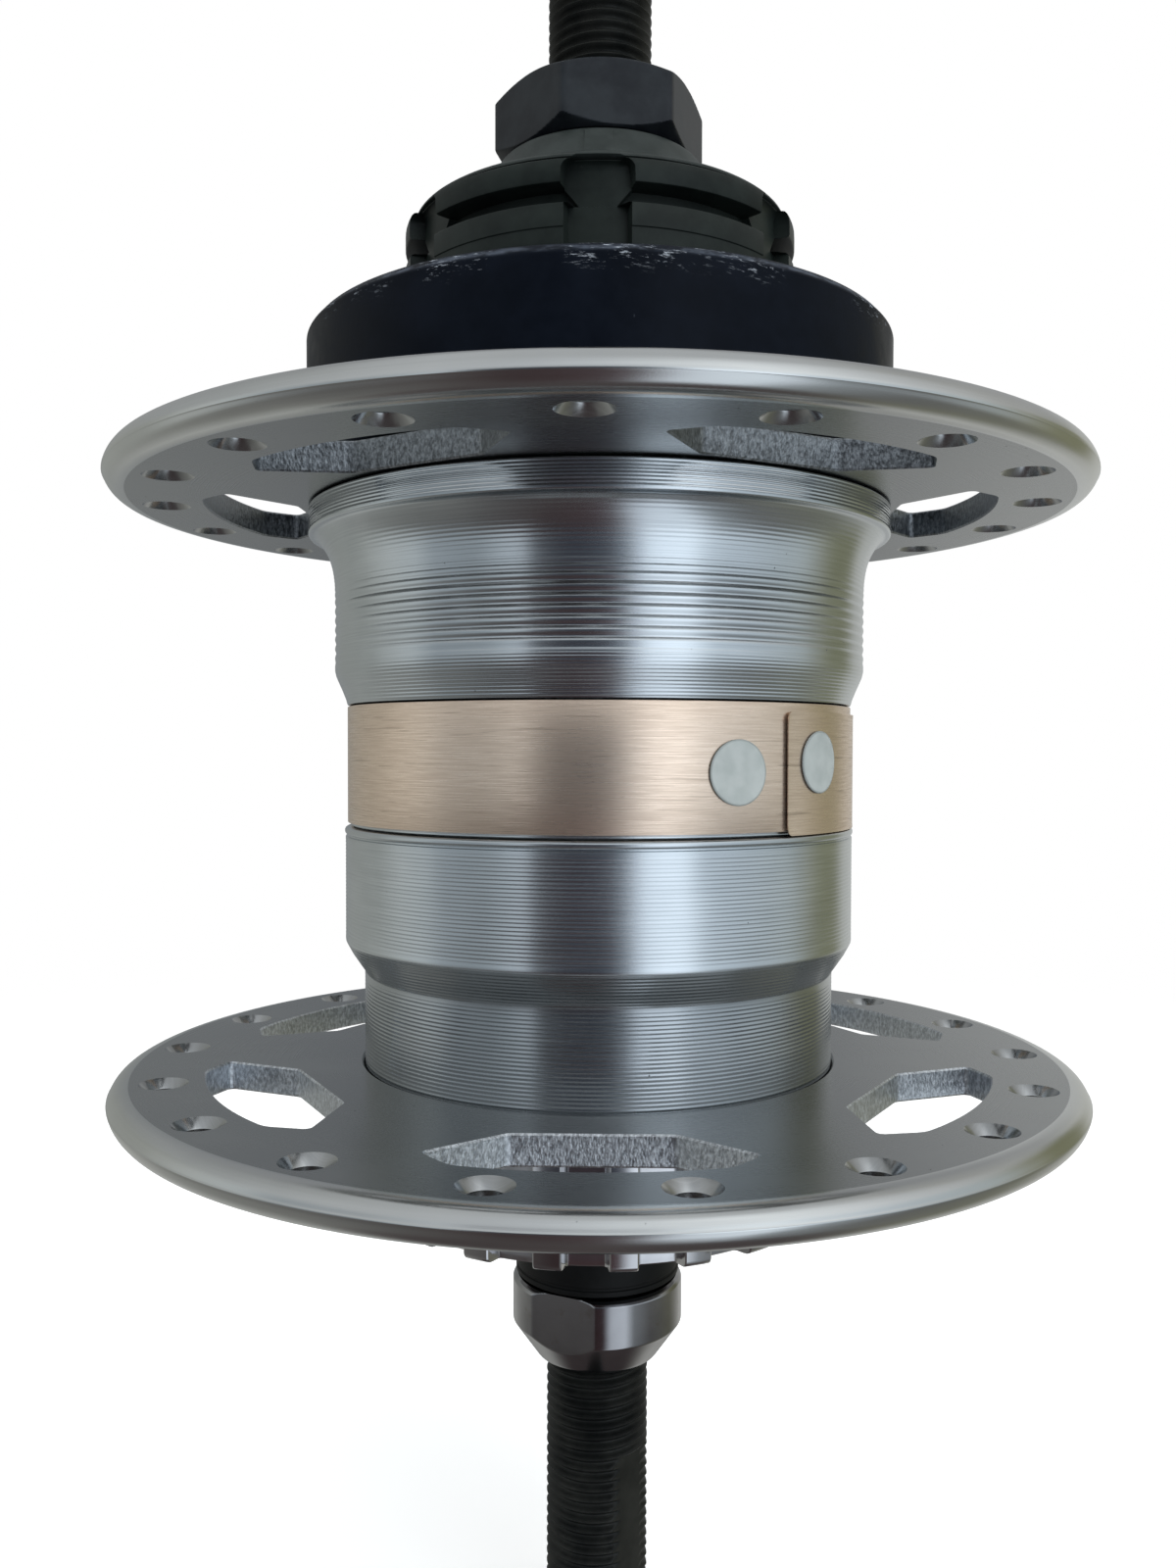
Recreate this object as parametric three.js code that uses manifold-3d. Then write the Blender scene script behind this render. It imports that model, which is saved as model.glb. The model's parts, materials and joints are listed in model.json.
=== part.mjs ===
// Three-speed bicycle hub gear with a large-flange aluminium shell.
// Millimetres, +Z up along the axle towards the drive side; the origin is on the axle axis,
// half way between the outer face of the lock nut and the outer face of the left cone.
import * as THREE from 'three';
import Module from 'manifold-3d';

const wasm = await Module();
wasm.setup();

// ---------------------------------------------------------------- driving dimensions
const OLD = 120;                     // over-locknut dimension
const AXLE_R = 4.9;                  // M10 axle
const AXLE_TOP = 87;
const AXLE_BOTTOM = -91;
const AXLE_BORE_R = 2.3;
const AXLE_FLAT = 4.0;               // half of the 8 mm across the flats
const AXLE_FLAT_ANGLE = -38;         // direction of the flats' normal about +Z, degrees from +X
const KEY_W = 2.6;
const TRAVEL = 6.8;                  // push-rod travel, first gear to third gear

const FLANGE_R = 45;
const FLANGE_T = 2.6;
const FLANGE_Z_RIGHT = 21.95;
const FLANGE_Z_LEFT = -32.25;
const SPOKES = 18;
const SPOKE_PCR = 40.2;
const SPOKE_HOLE_R = 1.4;
const RIGHT_HOLE_0 = -91.8;          // first spoke hole, degrees from +X
const LEFT_HOLE_0 = -81.3;
const RIGHT_CUT_0 = -61.8;           // first lightening hole
const LEFT_CUT_0 = -91.3;

const MODULE = 0.875;
const SUN_TEETH = 16;
const PLANET_TEETH = 14;
const RING_TEETH = 44;
const PRESSURE = THREE.MathUtils.degToRad(25);
const ADD = 0.9 * MODULE;
const DED = 1.15 * MODULE;
const THIN = 0.07;                   // flank relief each side of a tooth
const CENTRE = MODULE * (SUN_TEETH + PLANET_TEETH) / 2;
const PLANET_Z0 = -20.5;
const PLANET_Z1 = -10.5;
const DOGS = 15;                     // splines, dogs and ratchet teeth, 24 degrees apart

const NUT_AF = 17.5;
const CONE_AF = 15;
const CONE_R = 8.2;                   // round of the left cone, left between its six flats
const DRIVER_R = 18.4;
const DUST_RING_R = 27.5;
const BOSS_R = 22.2;
const BOSS_ROOT_R = 20.6;
const BOSS_TEETH = 22;
const PAWL_SWING = 18;

const RAD = Math.PI / 180;
const steel = (c, r = 0.35) => ({ color: c, roughness: r, metalness: 1 });
const ANODISED = { color: 0xaeb3b8, roughness: 0.32, metalness: 1 };
const CHROME = { color: 0xd6d9dc, roughness: 0.1, metalness: 1 };
const BLACK_STEEL = { color: 0x17181a, roughness: 0.45, metalness: 0.7 };
const BLACK_PLASTIC = { color: 0x121317, roughness: 0.55, metalness: 0 };
const RUBBER = { color: 0x0d0d0e, roughness: 0.85, metalness: 0 };
const GEAR_STEEL = steel(0x8f9092, 0.4);
const SPRING_STEEL = steel(0x9c9fa3, 0.3);

// ---------------------------------------------------------------- helpers
function solid(geometry) {
  const p = geometry.getAttribute('position');
  const index = geometry.index ? geometry.index.array : [...Array(p.count).keys()];
  const ids = new Map();
  const verts = [];
  const map = new Array(p.count);
  for (let i = 0; i < p.count; i++) {
    const key = [p.getX(i), p.getY(i), p.getZ(i)].map((v) => Math.round(v * 1e4)).join(',');
    if (!ids.has(key)) {
      ids.set(key, verts.length / 3);
      verts.push(p.getX(i), p.getY(i), p.getZ(i));
    }
    map[i] = ids.get(key);
  }
  const tris = [];
  for (let i = 0; i < index.length; i += 3) {
    const [a, b, c] = [map[index[i]], map[index[i + 1]], map[index[i + 2]]];
    if (a !== b && b !== c && a !== c) tris.push(a, b, c);
  }
  let volume = 0;
  for (let i = 0; i < tris.length; i += 3) {
    const [a, b, c] = [tris[i] * 3, tris[i + 1] * 3, tris[i + 2] * 3];
    volume += verts[a] * (verts[b + 1] * verts[c + 2] - verts[b + 2] * verts[c + 1])
      - verts[a + 1] * (verts[b] * verts[c + 2] - verts[b + 2] * verts[c])
      + verts[a + 2] * (verts[b] * verts[c + 1] - verts[b + 1] * verts[c]);
  }
  if (volume < 0) for (let i = 0; i < tris.length; i += 3) [tris[i + 1], tris[i + 2]] = [tris[i + 2], tris[i + 1]];
  return new wasm.Manifold(new wasm.Mesh({
    numProp: 3, vertProperties: new Float32Array(verts), triVerts: new Uint32Array(tris),
  }));
}

// Turned piece: profile points [radius, z], closed on itself unless both ends are on the axis.
function lathe(profile, segments = 28, phase = 0) {
  const pts = profile.map(([r, z]) => new THREE.Vector2(r, z));
  const first = profile[0];
  const last = profile[profile.length - 1];
  if (!(first[0] === 0 && last[0] === 0)) pts.push(new THREE.Vector2(first[0], first[1]));
  const g = new THREE.LatheGeometry(pts, segments, 0, Math.PI * 2);
  g.rotateX(Math.PI / 2);
  if (phase) g.rotateZ(phase * RAD);
  return solid(g);
}

// Straight prism: outline points [x, y] from z0 to z1.
function prism(points, z0, z1, holes = []) {
  const shape = new THREE.Shape(points.map(([x, y]) => new THREE.Vector2(x, y)));
  for (const h of holes) shape.holes.push(new THREE.Path(h.map(([x, y]) => new THREE.Vector2(x, y))));
  const g = new THREE.ExtrudeGeometry(shape, { depth: z1 - z0, bevelEnabled: false, steps: 1 });
  g.translate(0, 0, z0);
  return solid(g);
}

function circle(r, n, cx = 0, cy = 0, phase = 0) {
  return [...Array(n).keys()].map((i) => {
    const a = phase * RAD + i * 2 * Math.PI / n;
    return [cx + r * Math.cos(a), cy + r * Math.sin(a)];
  });
}

function rod(r, z0, z1, n = 12, cx = 0, cy = 0, phase = 0) {
  return prism(circle(r, n, cx, cy, phase), z0, z1);
}

function turn(points, degrees) {
  const c = Math.cos(degrees * RAD);
  const s = Math.sin(degrees * RAD);
  return points.map(([x, y]) => [x * c - y * s, x * s + y * c]);
}

function turnAbout(points, degrees, cx, cy) {
  return turn(points.map(([x, y]) => [x - cx, y - cy]), degrees).map(([x, y]) => [x + cx, y + cy]);
}

function join(list) {
  return list.reduce((a, b) => a.add(b));
}

function cut(body, list) {
  return list.reduce((a, b) => a.subtract(b), body);
}

function block(x0, x1, y0, y1, z0, z1, degrees = 0) {
  const g = new THREE.BoxGeometry(x1 - x0, y1 - y0, z1 - z0);
  g.translate((x0 + x1) / 2, (y0 + y1) / 2, (z0 + z1) / 2);
  if (degrees) g.rotateZ(degrees * RAD);
  return solid(g);
}

const hub_gear = new THREE.Group();
hub_gear.name = 'hub_gear';

function put(name, body, look, group = hub_gear) {
  const m = body.getMesh();
  const g = new THREE.BufferGeometry();
  g.setAttribute('position', new THREE.BufferAttribute(new Float32Array(m.vertProperties), 3));
  g.setIndex(new THREE.BufferAttribute(new Uint32Array(m.triVerts), 1));
  g.computeVertexNormals();
  const mesh = new THREE.Mesh(g, new THREE.MeshStandardMaterial(look));
  mesh.name = name;
  group.add(mesh);
  return mesh;
}

// Involute outline. Outside gears use it as the tooth shape, the ring gear as the shape of its hole.
function gearOutline(teeth, rTip, rRoot, halfAtPitch, phase) {
  const rp = MODULE * teeth / 2;
  const rb = rp * Math.cos(PRESSURE);
  const inv = (a) => Math.tan(a) - a;
  const half = (r) => halfAtPitch / rp + inv(PRESSURE) - inv(Math.acos(Math.min(1, rb / Math.max(r, rb))));
  const out = [];
  for (let k = 0; k < teeth; k++) {
    const c = phase + k * 2 * Math.PI / teeth;
    for (const [r, s] of [[rRoot, -1], [rTip, -1], [rTip, 1], [rRoot, 1]]) {
      const a = c + s * half(r);
      out.push([r * Math.cos(a), r * Math.sin(a)]);
    }
  }
  return out;
}

// Saw-toothed inside outline: the steep face of each space is at its lower angle.
function ratchetOutline(rTip, rRoot, steep) {
  const out = [];
  for (let k = 0; k < DOGS; k++) {
    const a = steep + k * 24;
    for (const [r, d] of [[rTip, 0], [rRoot, 0.9], [rRoot - 0.2, 9]]) {
      out.push([r * Math.cos((a + d) * RAD), r * Math.sin((a + d) * RAD)]);
    }
  }
  return out;
}

// Square-cut teeth between two radii, as one star outline.
function splineOutline(rTip, rRoot, toothDeg, phase, n = DOGS) {
  const out = [];
  const pitch = 360 / n;
  for (let k = 0; k < n; k++) {
    const c = phase + k * pitch;
    for (const [r, d] of [[rRoot, -toothDeg / 2 - 0.6], [rTip, -toothDeg / 2], [rTip, toothDeg / 2], [rRoot, toothDeg / 2 + 0.6]]) {
      out.push([r * Math.cos((c + d) * RAD), r * Math.sin((c + d) * RAD)]);
    }
  }
  return out;
}

// ---------------------------------------------------------------- axle and what is fixed to it
{
  const body = lathe([[0, AXLE_BOTTOM], [4.2, AXLE_BOTTOM], [AXLE_R, AXLE_BOTTOM + 0.8], [AXLE_R, AXLE_TOP - 0.8], [4.2, AXLE_TOP], [0, AXLE_TOP]], 24);
  const bore = rod(AXLE_BORE_R, -2.2, AXLE_TOP + 1, 12);
  const slot = block(-8, 8, -KEY_W / 2 - 0.3, KEY_W / 2 + 0.3, -0.4, 10.4);
  const flats = [];
  for (const a of [AXLE_FLAT_ANGLE, AXLE_FLAT_ANGLE + 180]) {
    flats.push(block(AXLE_FLAT, 8, -8, 8, AXLE_BOTTOM - 1, -69.1, a));
    flats.push(block(AXLE_FLAT, 8, -8, 8, 72, AXLE_TOP + 1, a));
  }
  put('axle', cut(body, [bore, slot, ...flats]), BLACK_STEEL);
}

const RP_SUN = MODULE * SUN_TEETH / 2;
const RP_PLANET = MODULE * PLANET_TEETH / 2;
const RP_RING = MODULE * RING_TEETH / 2;
const HALF = Math.PI * MODULE / 4;
put('sun_gear', prism(gearOutline(SUN_TEETH, RP_SUN + ADD, RP_SUN - DED, HALF - THIN, 0), PLANET_Z0, PLANET_Z1, [circle(5.2, 16)]), GEAR_STEEL);

put('right_cone', lathe([[5.2, 37.2], [6.9, 37.2], [7.3, 40.3], [10.0, 43.0], [10.0, 45.3], [8.5, 46.3], [8.5, 51.5], [5.2, 51.5]], 22), steel(0x84868a, 0.25));
put('right_dust_seal', lathe([[8.8, 46.9], [10.4, 46.9], [10.4, 49.2], [9.4, 50.3], [8.8, 50.3]], 24), RUBBER);
put('right_lock_washer', lathe([[5.2, 51.8], [8.3, 51.8], [8.3, 53.6], [5.2, 53.6]], 18), BLACK_STEEL);

function hexBlock(across, z0, z1, degrees) {
  return prism(circle(across / 2 / Math.cos(Math.PI / 6), 6, 0, 0, degrees), z0, z1);
}
{
  const hex = hexBlock(NUT_AF, 53.9, OLD / 2, -80.5 + 30);
  const chamfer = lathe([[0, 53.9], [8.6, 53.9], [10.15, 54.8], [10.15, 59.1], [8.6, OLD / 2], [0, OLD / 2]], 24);
  put('right_lock_nut', hex.intersect(chamfer).subtract(rod(5.2, 50, 62, 18)), BLACK_STEEL);
}
{
  const flats = block(-12, 12, -CONE_AF / 2, CONE_AF / 2, -60, -52.3, -25.5);
  const shape = lathe([[0, -60], [5.7, -60], [CONE_R, -56.6], [CONE_R, -53.3], [7.5, -52.3], [0, -52.3]], 48);
  const turned = lathe([[0, -56], [6.5, -56], [7.1, -52.6], [7.1, -46.2], [9.6, -45.0], [9.6, -42.7], [6.9, -40.0], [6.6, -37.5], [0, -37.5]], 24);
  put('left_cone', join([flats.intersect(shape), turned]).subtract(rod(5.2, -61, -36, 18)), CHROME);
}
put('left_cone_seal', lathe([[9.95, -43.3], [13.9, -43.3], [13.9, -44.6], [7.9, -47.6], [7.9, -52.0], [7.4, -52.0], [7.4, -46.5], [9.95, -45.3]], 24), RUBBER);

// Return spring of the clutch: a wire along a helix, its ends closed.
{
  class Helix extends THREE.Curve {
    getPoint(t, target = new THREE.Vector3()) {
      const a = t * 4.25 * 2 * Math.PI;
      return target.set(6.15 * Math.cos(a), 6.15 * Math.sin(a), -9.9 + t * 9.9);
    }
  }
  const wire = new THREE.Shape(circle(0.42, 5).map(([x, y]) => new THREE.Vector2(x, y)));
  const g = new THREE.ExtrudeGeometry(wire, { steps: 44, bevelEnabled: false, extrudePath: new Helix() });
  put('clutch_spring', solid(g), SPRING_STEEL);
}

// ---------------------------------------------------------------- gear selector in the axle
put('push_rod', lathe([[0, 10.2], [1.9, 10.2], [1.9, 87.9], [1.3, 88.5], [0, 88.5]], 12), steel(0x9a9ca0, 0.3));
put('axle_key', block(-6.9, 6.9, -KEY_W / 2, KEY_W / 2, 6.9, 9.9), GEAR_STEEL);

// ---------------------------------------------------------------- driver
{
  const outer = lathe([
    [7.4, -4.2], [9.5, -4.2], [9.5, 10.2], [13.8, 10.2], [13.8, 12.6], [11, 14.2], [11, 20.5], [14.9, 24.6], [14.9, 28.4],
    [DRIVER_R, 31.9], [DRIVER_R, 36.9], [20.5, 36.9], [20.5, 38.4], [DRIVER_R, 38.4], [DRIVER_R, 43.3],
    [17.1, 43.3], [17.1, 44.9], [DRIVER_R, 44.9], [DRIVER_R, 46.9], [13.2, 46.9], [13.2, 39.4], [11.6, 36.7], [7.4, 36.7],
  ], 24, 5);
  const cuts = [];
  for (let k = 0; k < 3; k++) {
    cuts.push(block(4, 11, -2.35, 2.35, -6, 7.0, k * 120));          // slots for the clutch arms
  }
  for (let k = 0; k < 6; k++) cuts.push(block(17.0, 19.5, -2.8, 2.8, 38.4, 47, -91 + k * 60)); // sprocket lug notches
  put('driver', cut(outer, cuts), BLACK_STEEL);
}
put('driver_dust_cap', lathe([[13.6, 47.2], [17.6, 47.2], [17.3, 47.7], [12.6, 49.1], [11.4, 50.2], [9.6, 53.3], [8.8, 53.3], [8.8, 52.6], [10.8, 49.6], [10.8, 49.0], [13.6, 48.0]], 32), BLACK_PLASTIC);

// ---------------------------------------------------------------- clutch: sleeve, three arms, splined ring and dogs
{
  const sleeve = prism(circle(7.0, 14), 0.6, 6.6, [circle(5.4, 14)]);
  const ring = prism(splineOutline(13.9, 12.7, 11.4, 0), 2.6, 6.6, [circle(10.0, 20)]);
  const arms = [0, 120, 240].map((a) => block(6.2, 10.6, -2.0, 2.0, 2.6, 6.6, a));
  const dogRing = prism(splineOutline(12.5, 9.6, 10.6, 12), 0.0, 3.0);
  const dogs = dogRing.subtract(rod(10.0, -1, 3.4, 20));
  put('clutch', join([sleeve, ring, ...arms, dogs]), GEAR_STEEL);
}

// ---------------------------------------------------------------- ring gear with its three pawls
const PAWL = [[1.3, 0.4], [1.2, -2.5], [0.3, -6.8], [-1.3, -6.8], [-1.3, 0.4], [-0.6, 1.3], [0.6, 1.3]];
function pawl(pivot, z0, z1, degrees, swing) {
  const outline = turnAbout(PAWL.map(([x, y]) => [x + pivot, y]), swing, pivot, 0);
  return prism(turn(outline, degrees), z0, z1, [turn(circle(1.0, 6, pivot, 0), degrees)]);
}
function pawlPocket(pivot, reach, z0, z1, degrees) {
  return block(pivot - 1.75, reach, -7.3, 1.8, z0, z1, degrees);
}
const RING_PIVOT = 16.9;
{
  const outer = lathe([
    [17.9, -21.3], [21.2, -21.3], [21.2, -5.2], [18.9, -2.4], [18.9, 13.0], [14.25, 13.0], [14.25, -2.8], [17.9, -5.4],
  ], 36);
  const teeth = prism(gearOutline(RING_TEETH, RP_RING + DED, RP_RING - ADD, HALF + THIN, Math.PI / RING_TEETH), -23, -6.6);
  const splines = prism(circle(14.7, 30), 0.2, 9.5).subtract(prism(splineOutline(14.1, 12.98, 12.6, 0), -1, 11));
  const cuts = [teeth];
  for (let k = 0; k < 3; k++) {
    cuts.push(pawlPocket(RING_PIVOT, 21, 5.2, 10.8, k * 120));
    cuts.push(rod(1.0, 3.6, 14, 8, RING_PIVOT * Math.cos(k * 120 * RAD), RING_PIVOT * Math.sin(k * 120 * RAD), k * 120));
  }
  put('ring_gear', cut(join([outer, splines]), cuts), GEAR_STEEL);
  for (let k = 0; k < 3; k++) {
    put(`ring_pawl_${k + 1}`, pawl(RING_PIVOT, 5.5, 10.5, k * 120, 0), steel(0x77797d, 0.35));
    put(`ring_pawl_pin_${k + 1}`, rod(0.75, 3.9, 12.7, 8, RING_PIVOT * Math.cos(k * 120 * RAD), RING_PIVOT * Math.sin(k * 120 * RAD), k * 120), SPRING_STEEL);
  }
}

// ---------------------------------------------------------------- planet cage, planets and output pawls
const planetAt = (k) => [CENTRE * Math.cos(k * Math.PI / 2), CENTRE * Math.sin(k * Math.PI / 2)];
{
  let body = lathe([[5.35, -24.0], [17.2, -24.0], [17.2, -7.2], [5.35, -7.2]], 28);
  const crown = prism(splineOutline(12.7, 9.6, 9.8, 0), -7.6, -4.6).subtract(rod(10.0, -9, -4, 20));
  const cuts = [rod(8.35, -20.8, -4, 16)];
  for (let k = 0; k < 4; k++) {
    const [x, y] = planetAt(k);
    cuts.push(rod(7.4, -20.8, -10.2, 16, x, y));
    cuts.push(rod(2.55, -25, -7.9, 8, x, y));
  }
  put('planet_cage', cut(join([body, crown]), cuts), GEAR_STEEL);
  for (let k = 0; k < 4; k++) {
    const [x, y] = planetAt(k);
    put(`planet_pin_${k + 1}`, rod(2.25, -23.8, -8.2, 8, x, y), SPRING_STEEL);
    const outline = gearOutline(PLANET_TEETH, RP_PLANET + ADD, RP_PLANET - DED, HALF - THIN, Math.PI / PLANET_TEETH);
    const planet = new THREE.Group();
    planet.position.set(x, y, 0);
    hub_gear.add(planet);
    put(`planet_gear_${k + 1}`, prism(turn(outline, k * 90), PLANET_Z0, PLANET_Z1, [circle(2.6, 10)]), GEAR_STEEL, planet);
  }
}
const CAGE_PIVOT = 14.6;
{
  const body = lathe([[5.35, -33.6], [16.6, -33.6], [16.6, -24.3], [5.35, -24.3]], 24);
  const cuts = [];
  for (let k = 0; k < 3; k++) {
    cuts.push(pawlPocket(CAGE_PIVOT, 19, -31.3, -25.7, k * 120 + 60));
    cuts.push(rod(1.0, -35, -24.9, 8, CAGE_PIVOT * Math.cos((k * 120 + 60) * RAD), CAGE_PIVOT * Math.sin((k * 120 + 60) * RAD), k * 120 + 60));
  }
  put('cage_pawl_carrier', cut(body, cuts), GEAR_STEEL);
  for (let k = 0; k < 3; k++) {
    const a = k * 120 + 60;
    put(`cage_pawl_${k + 1}`, pawl(CAGE_PIVOT, -31.0, -26.0, a, PAWL_SWING), steel(0x77797d, 0.35));
    put(`cage_pawl_pin_${k + 1}`, rod(0.75, -33.4, -25.2, 8, CAGE_PIVOT * Math.cos(a * RAD), CAGE_PIVOT * Math.sin(a * RAD), a), SPRING_STEEL);
  }
}

// ---------------------------------------------------------------- ball retainers, each one piece with its balls
function retainer(name, ballR, pitchR, z, count, ring) {
  const balls = [...Array(count).keys()].map((i) => {
    const g = new THREE.SphereGeometry(ballR, 5, 4);
    g.rotateX(Math.PI / 2);
    const a = i * 2 * Math.PI / count;
    g.rotateZ(a);
    g.translate(pitchR * Math.cos(a), pitchR * Math.sin(a), z);
    return solid(g);
  });
  put(name, join([lathe(ring, count * 2), ...balls]), steel(0xb4b6ba, 0.15));
}
retainer('left_ball_retainer', 3.0, 10.9, -39.3, 8, [[11.9, -41.7], [13.1, -41.7], [13.1, -40.5], [11.9, -40.5]]);
retainer('main_ball_retainer', 2.4, 17.9, 27.6, 12, [[18.8, 28.4], [19.9, 28.4], [19.9, 29.5], [18.8, 29.5]]);
retainer('right_ball_retainer', 2.4, 10.4, 39.5, 8, [[11.2, 40.3], [12.3, 40.3], [12.3, 41.3], [11.2, 41.3]]);

// ---------------------------------------------------------------- shell and what turns with it
put('hub_shell', lathe([
  [20.0, -34.0], [22.3, -34.0], [22.3, -22.2], [24.07, -19.5], [24.07, -9.0], [23.5, -8.75], [23.5, 2.35], [23.9, 2.5], [25.0, 5.2],
  [25.0, 13.8], [25.9, 17.0], [27.4, 18.6], [27.4, 20.35], [24.5, 20.35], [24.5, 23.9],
  [22.65, 23.9], [22.65, 3.6], [21.65, 2.2], [21.65, -21.6], [20.0, -23.0],
], 32), ANODISED);

function flange(name, zMid, boreR, hole0, cut0) {
  const t = FLANGE_T / 2;
  const body = lathe([
    [boreR, zMid - t], [42.4, zMid - t], [43.6, zMid - 1.65], [FLANGE_R, zMid - 0.7],
    [FLANGE_R, zMid + 0.7], [43.6, zMid + 1.65], [42.4, zMid + t], [boreR, zMid + t],
  ], 36, hole0);
  const cuts = [];
  for (let k = 0; k < SPOKES; k++) {
    const a = (hole0 + k * 360 / SPOKES) * RAD;
    cuts.push(rod(SPOKE_HOLE_R, zMid - 4, zMid + 4, 6, SPOKE_PCR * Math.cos(a), SPOKE_PCR * Math.sin(a), hole0 + k * 20));
  }
  // Lightening hole: outer arc, round tips, straight inner edge.
  const polar = (r, d) => [r * Math.cos(d * RAD), r * Math.sin(d * RAD)];
  const opening = [
    [27.7, -6.3], polar(34.5, -20.0), polar(36.1, -18.0), polar(36.6, -6),
    polar(36.6, 6), polar(36.1, 18.0), polar(34.5, 20.0), [27.7, 6.3],
  ];
  for (let k = 0; k < 6; k++) cuts.push(prism(turn(opening, cut0 + k * 60), zMid - 4, zMid + 4));
  put(name, cut(body, cuts), ANODISED);
}
flange('flange_right', FLANGE_Z_RIGHT, 24.8, RIGHT_HOLE_0, RIGHT_CUT_0);
flange('flange_left', FLANGE_Z_LEFT, 22.6, LEFT_HOLE_0, LEFT_CUT_0);

{
  const body = lathe([
    [18.6, 4.5], [22.3, 4.5], [22.3, 24.2], [24.9, 24.2], [24.9, 33.2], [20.75, 33.2], [20.75, 27.2], [18.6, 24.5],
    [15.45, 24.5], [15.45, 14.2], [18.6, 13.4],
  ], 32);
  put('right_ball_cup', body.subtract(prism(ratchetOutline(19.3, 20.95, -21.4), 4, 13.35)), steel(0x8b8d91, 0.25));
}
put('driver_oil_seal', lathe([[18.85, 31.9], [20.4, 31.2], [20.4, 33.2], [18.85, 32.8]], 24), RUBBER);
put('right_dust_ring', lathe([
  [25.2, 23.55], [DUST_RING_R, 23.55], [DUST_RING_R, 35.9], [DUST_RING_R - 0.7, 36.6], [19.0, 36.6], [19.0, 33.6], [25.2, 33.6],
], 36), BLACK_PLASTIC);

put('left_ratchet_ring', prism(circle(19.7, 30), -32.2, -24.6, [ratchetOutline(17.1, 18.75, 60 - 24.3)]), steel(0x8b8d91, 0.25));
{
  const castle = prism(splineOutline(BOSS_R, BOSS_ROOT_R, 6.0, -84.8, BOSS_TEETH), -44.0, -34.3);
  const spigot = lathe([[17.4, -34.6], [19.7, -34.6], [19.7, -32.6], [17.4, -32.6]], 30);
  const race = lathe([[0, -34.0], [0, -50], [14.3, -50], [14.3, -39.3], [13.2, -35.7], [7.7, -35.7], [7.7, -34.0]], 24);
  put('left_ball_cup', join([castle, spigot]).subtract(race), CHROME);
}

// Foil band round the shell, the lapped end of the foil and two blank paper dots.
put('label_band', lathe([[23.62, -8.45], [23.85, -8.45], [23.85, 2.1], [23.62, 2.1]], 36), { color: 0xc99a7f, roughness: 0.3, metalness: 1 });
function arcStrip(r0, r1, a0, a1, n) {
  const out = [];
  for (let i = 0; i <= n; i++) out.push([r1 * Math.cos((a0 + (a1 - a0) * i / n) * RAD), r1 * Math.sin((a0 + (a1 - a0) * i / n) * RAD)]);
  for (let i = n; i >= 0; i--) out.push([r0 * Math.cos((a0 + (a1 - a0) * i / n) * RAD), r0 * Math.sin((a0 + (a1 - a0) * i / n) * RAD)]);
  return out;
}
put('label_lap', prism(arcStrip(24.02, 24.22, -50, 10, 10), -8.3, 1.5), { color: 0xc99a7f, roughness: 0.3, metalness: 1 });
function sticker(name, r, degrees, z, radius) {
  const disc = rod(radius, 0, 0.18, 12);
  const mesh = put(name, disc, { color: 0xdfe6de, roughness: 0.6, metalness: 0 });
  mesh.position.set(r * Math.cos(degrees * RAD), r * Math.sin(degrees * RAD), z);
  mesh.quaternion.setFromUnitVectors(new THREE.Vector3(0, 0, 1), new THREE.Vector3(Math.cos(degrees * RAD), Math.sin(degrees * RAD), 0));
}
sticker('paper_dot_1', 24.05, -62.3, -3.5, 2.7);
sticker('paper_dot_2', 24.42, -38, -2.7, 2.6);

export default hub_gear;
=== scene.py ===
import json
import math

import bmesh
import bpy
import numpy as np
from mathutils import Euler, Matrix, Vector

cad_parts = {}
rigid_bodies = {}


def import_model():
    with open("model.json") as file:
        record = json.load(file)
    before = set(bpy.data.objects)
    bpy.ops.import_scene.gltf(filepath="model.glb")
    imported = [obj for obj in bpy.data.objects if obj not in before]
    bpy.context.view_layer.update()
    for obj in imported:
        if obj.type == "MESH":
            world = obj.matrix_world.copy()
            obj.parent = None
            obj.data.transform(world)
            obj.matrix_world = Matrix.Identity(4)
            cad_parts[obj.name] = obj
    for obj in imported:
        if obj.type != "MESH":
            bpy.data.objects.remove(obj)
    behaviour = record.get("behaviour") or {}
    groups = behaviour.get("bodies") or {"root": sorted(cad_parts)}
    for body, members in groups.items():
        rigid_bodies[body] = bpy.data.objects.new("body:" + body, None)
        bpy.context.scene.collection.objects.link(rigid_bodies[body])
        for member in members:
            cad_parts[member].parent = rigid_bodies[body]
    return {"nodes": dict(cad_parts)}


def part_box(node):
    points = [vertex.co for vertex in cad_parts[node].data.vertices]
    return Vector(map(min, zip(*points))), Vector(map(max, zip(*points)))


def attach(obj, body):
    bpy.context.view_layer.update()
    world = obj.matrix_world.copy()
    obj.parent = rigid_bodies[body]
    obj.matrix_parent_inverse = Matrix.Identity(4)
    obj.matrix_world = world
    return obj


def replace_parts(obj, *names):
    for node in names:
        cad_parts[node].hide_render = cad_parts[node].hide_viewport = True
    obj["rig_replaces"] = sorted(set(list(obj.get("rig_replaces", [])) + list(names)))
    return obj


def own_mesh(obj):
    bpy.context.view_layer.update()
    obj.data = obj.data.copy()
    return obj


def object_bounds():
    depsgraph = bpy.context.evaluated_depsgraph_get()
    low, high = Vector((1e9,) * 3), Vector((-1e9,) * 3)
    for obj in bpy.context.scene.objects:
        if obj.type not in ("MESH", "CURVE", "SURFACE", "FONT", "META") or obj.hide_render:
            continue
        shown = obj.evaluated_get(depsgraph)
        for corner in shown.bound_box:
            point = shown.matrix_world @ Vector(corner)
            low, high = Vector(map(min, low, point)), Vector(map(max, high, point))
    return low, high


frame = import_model()
cad_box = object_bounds()
NODES = frame["nodes"]
scene = bpy.context.scene
MM = 0.001
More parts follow.
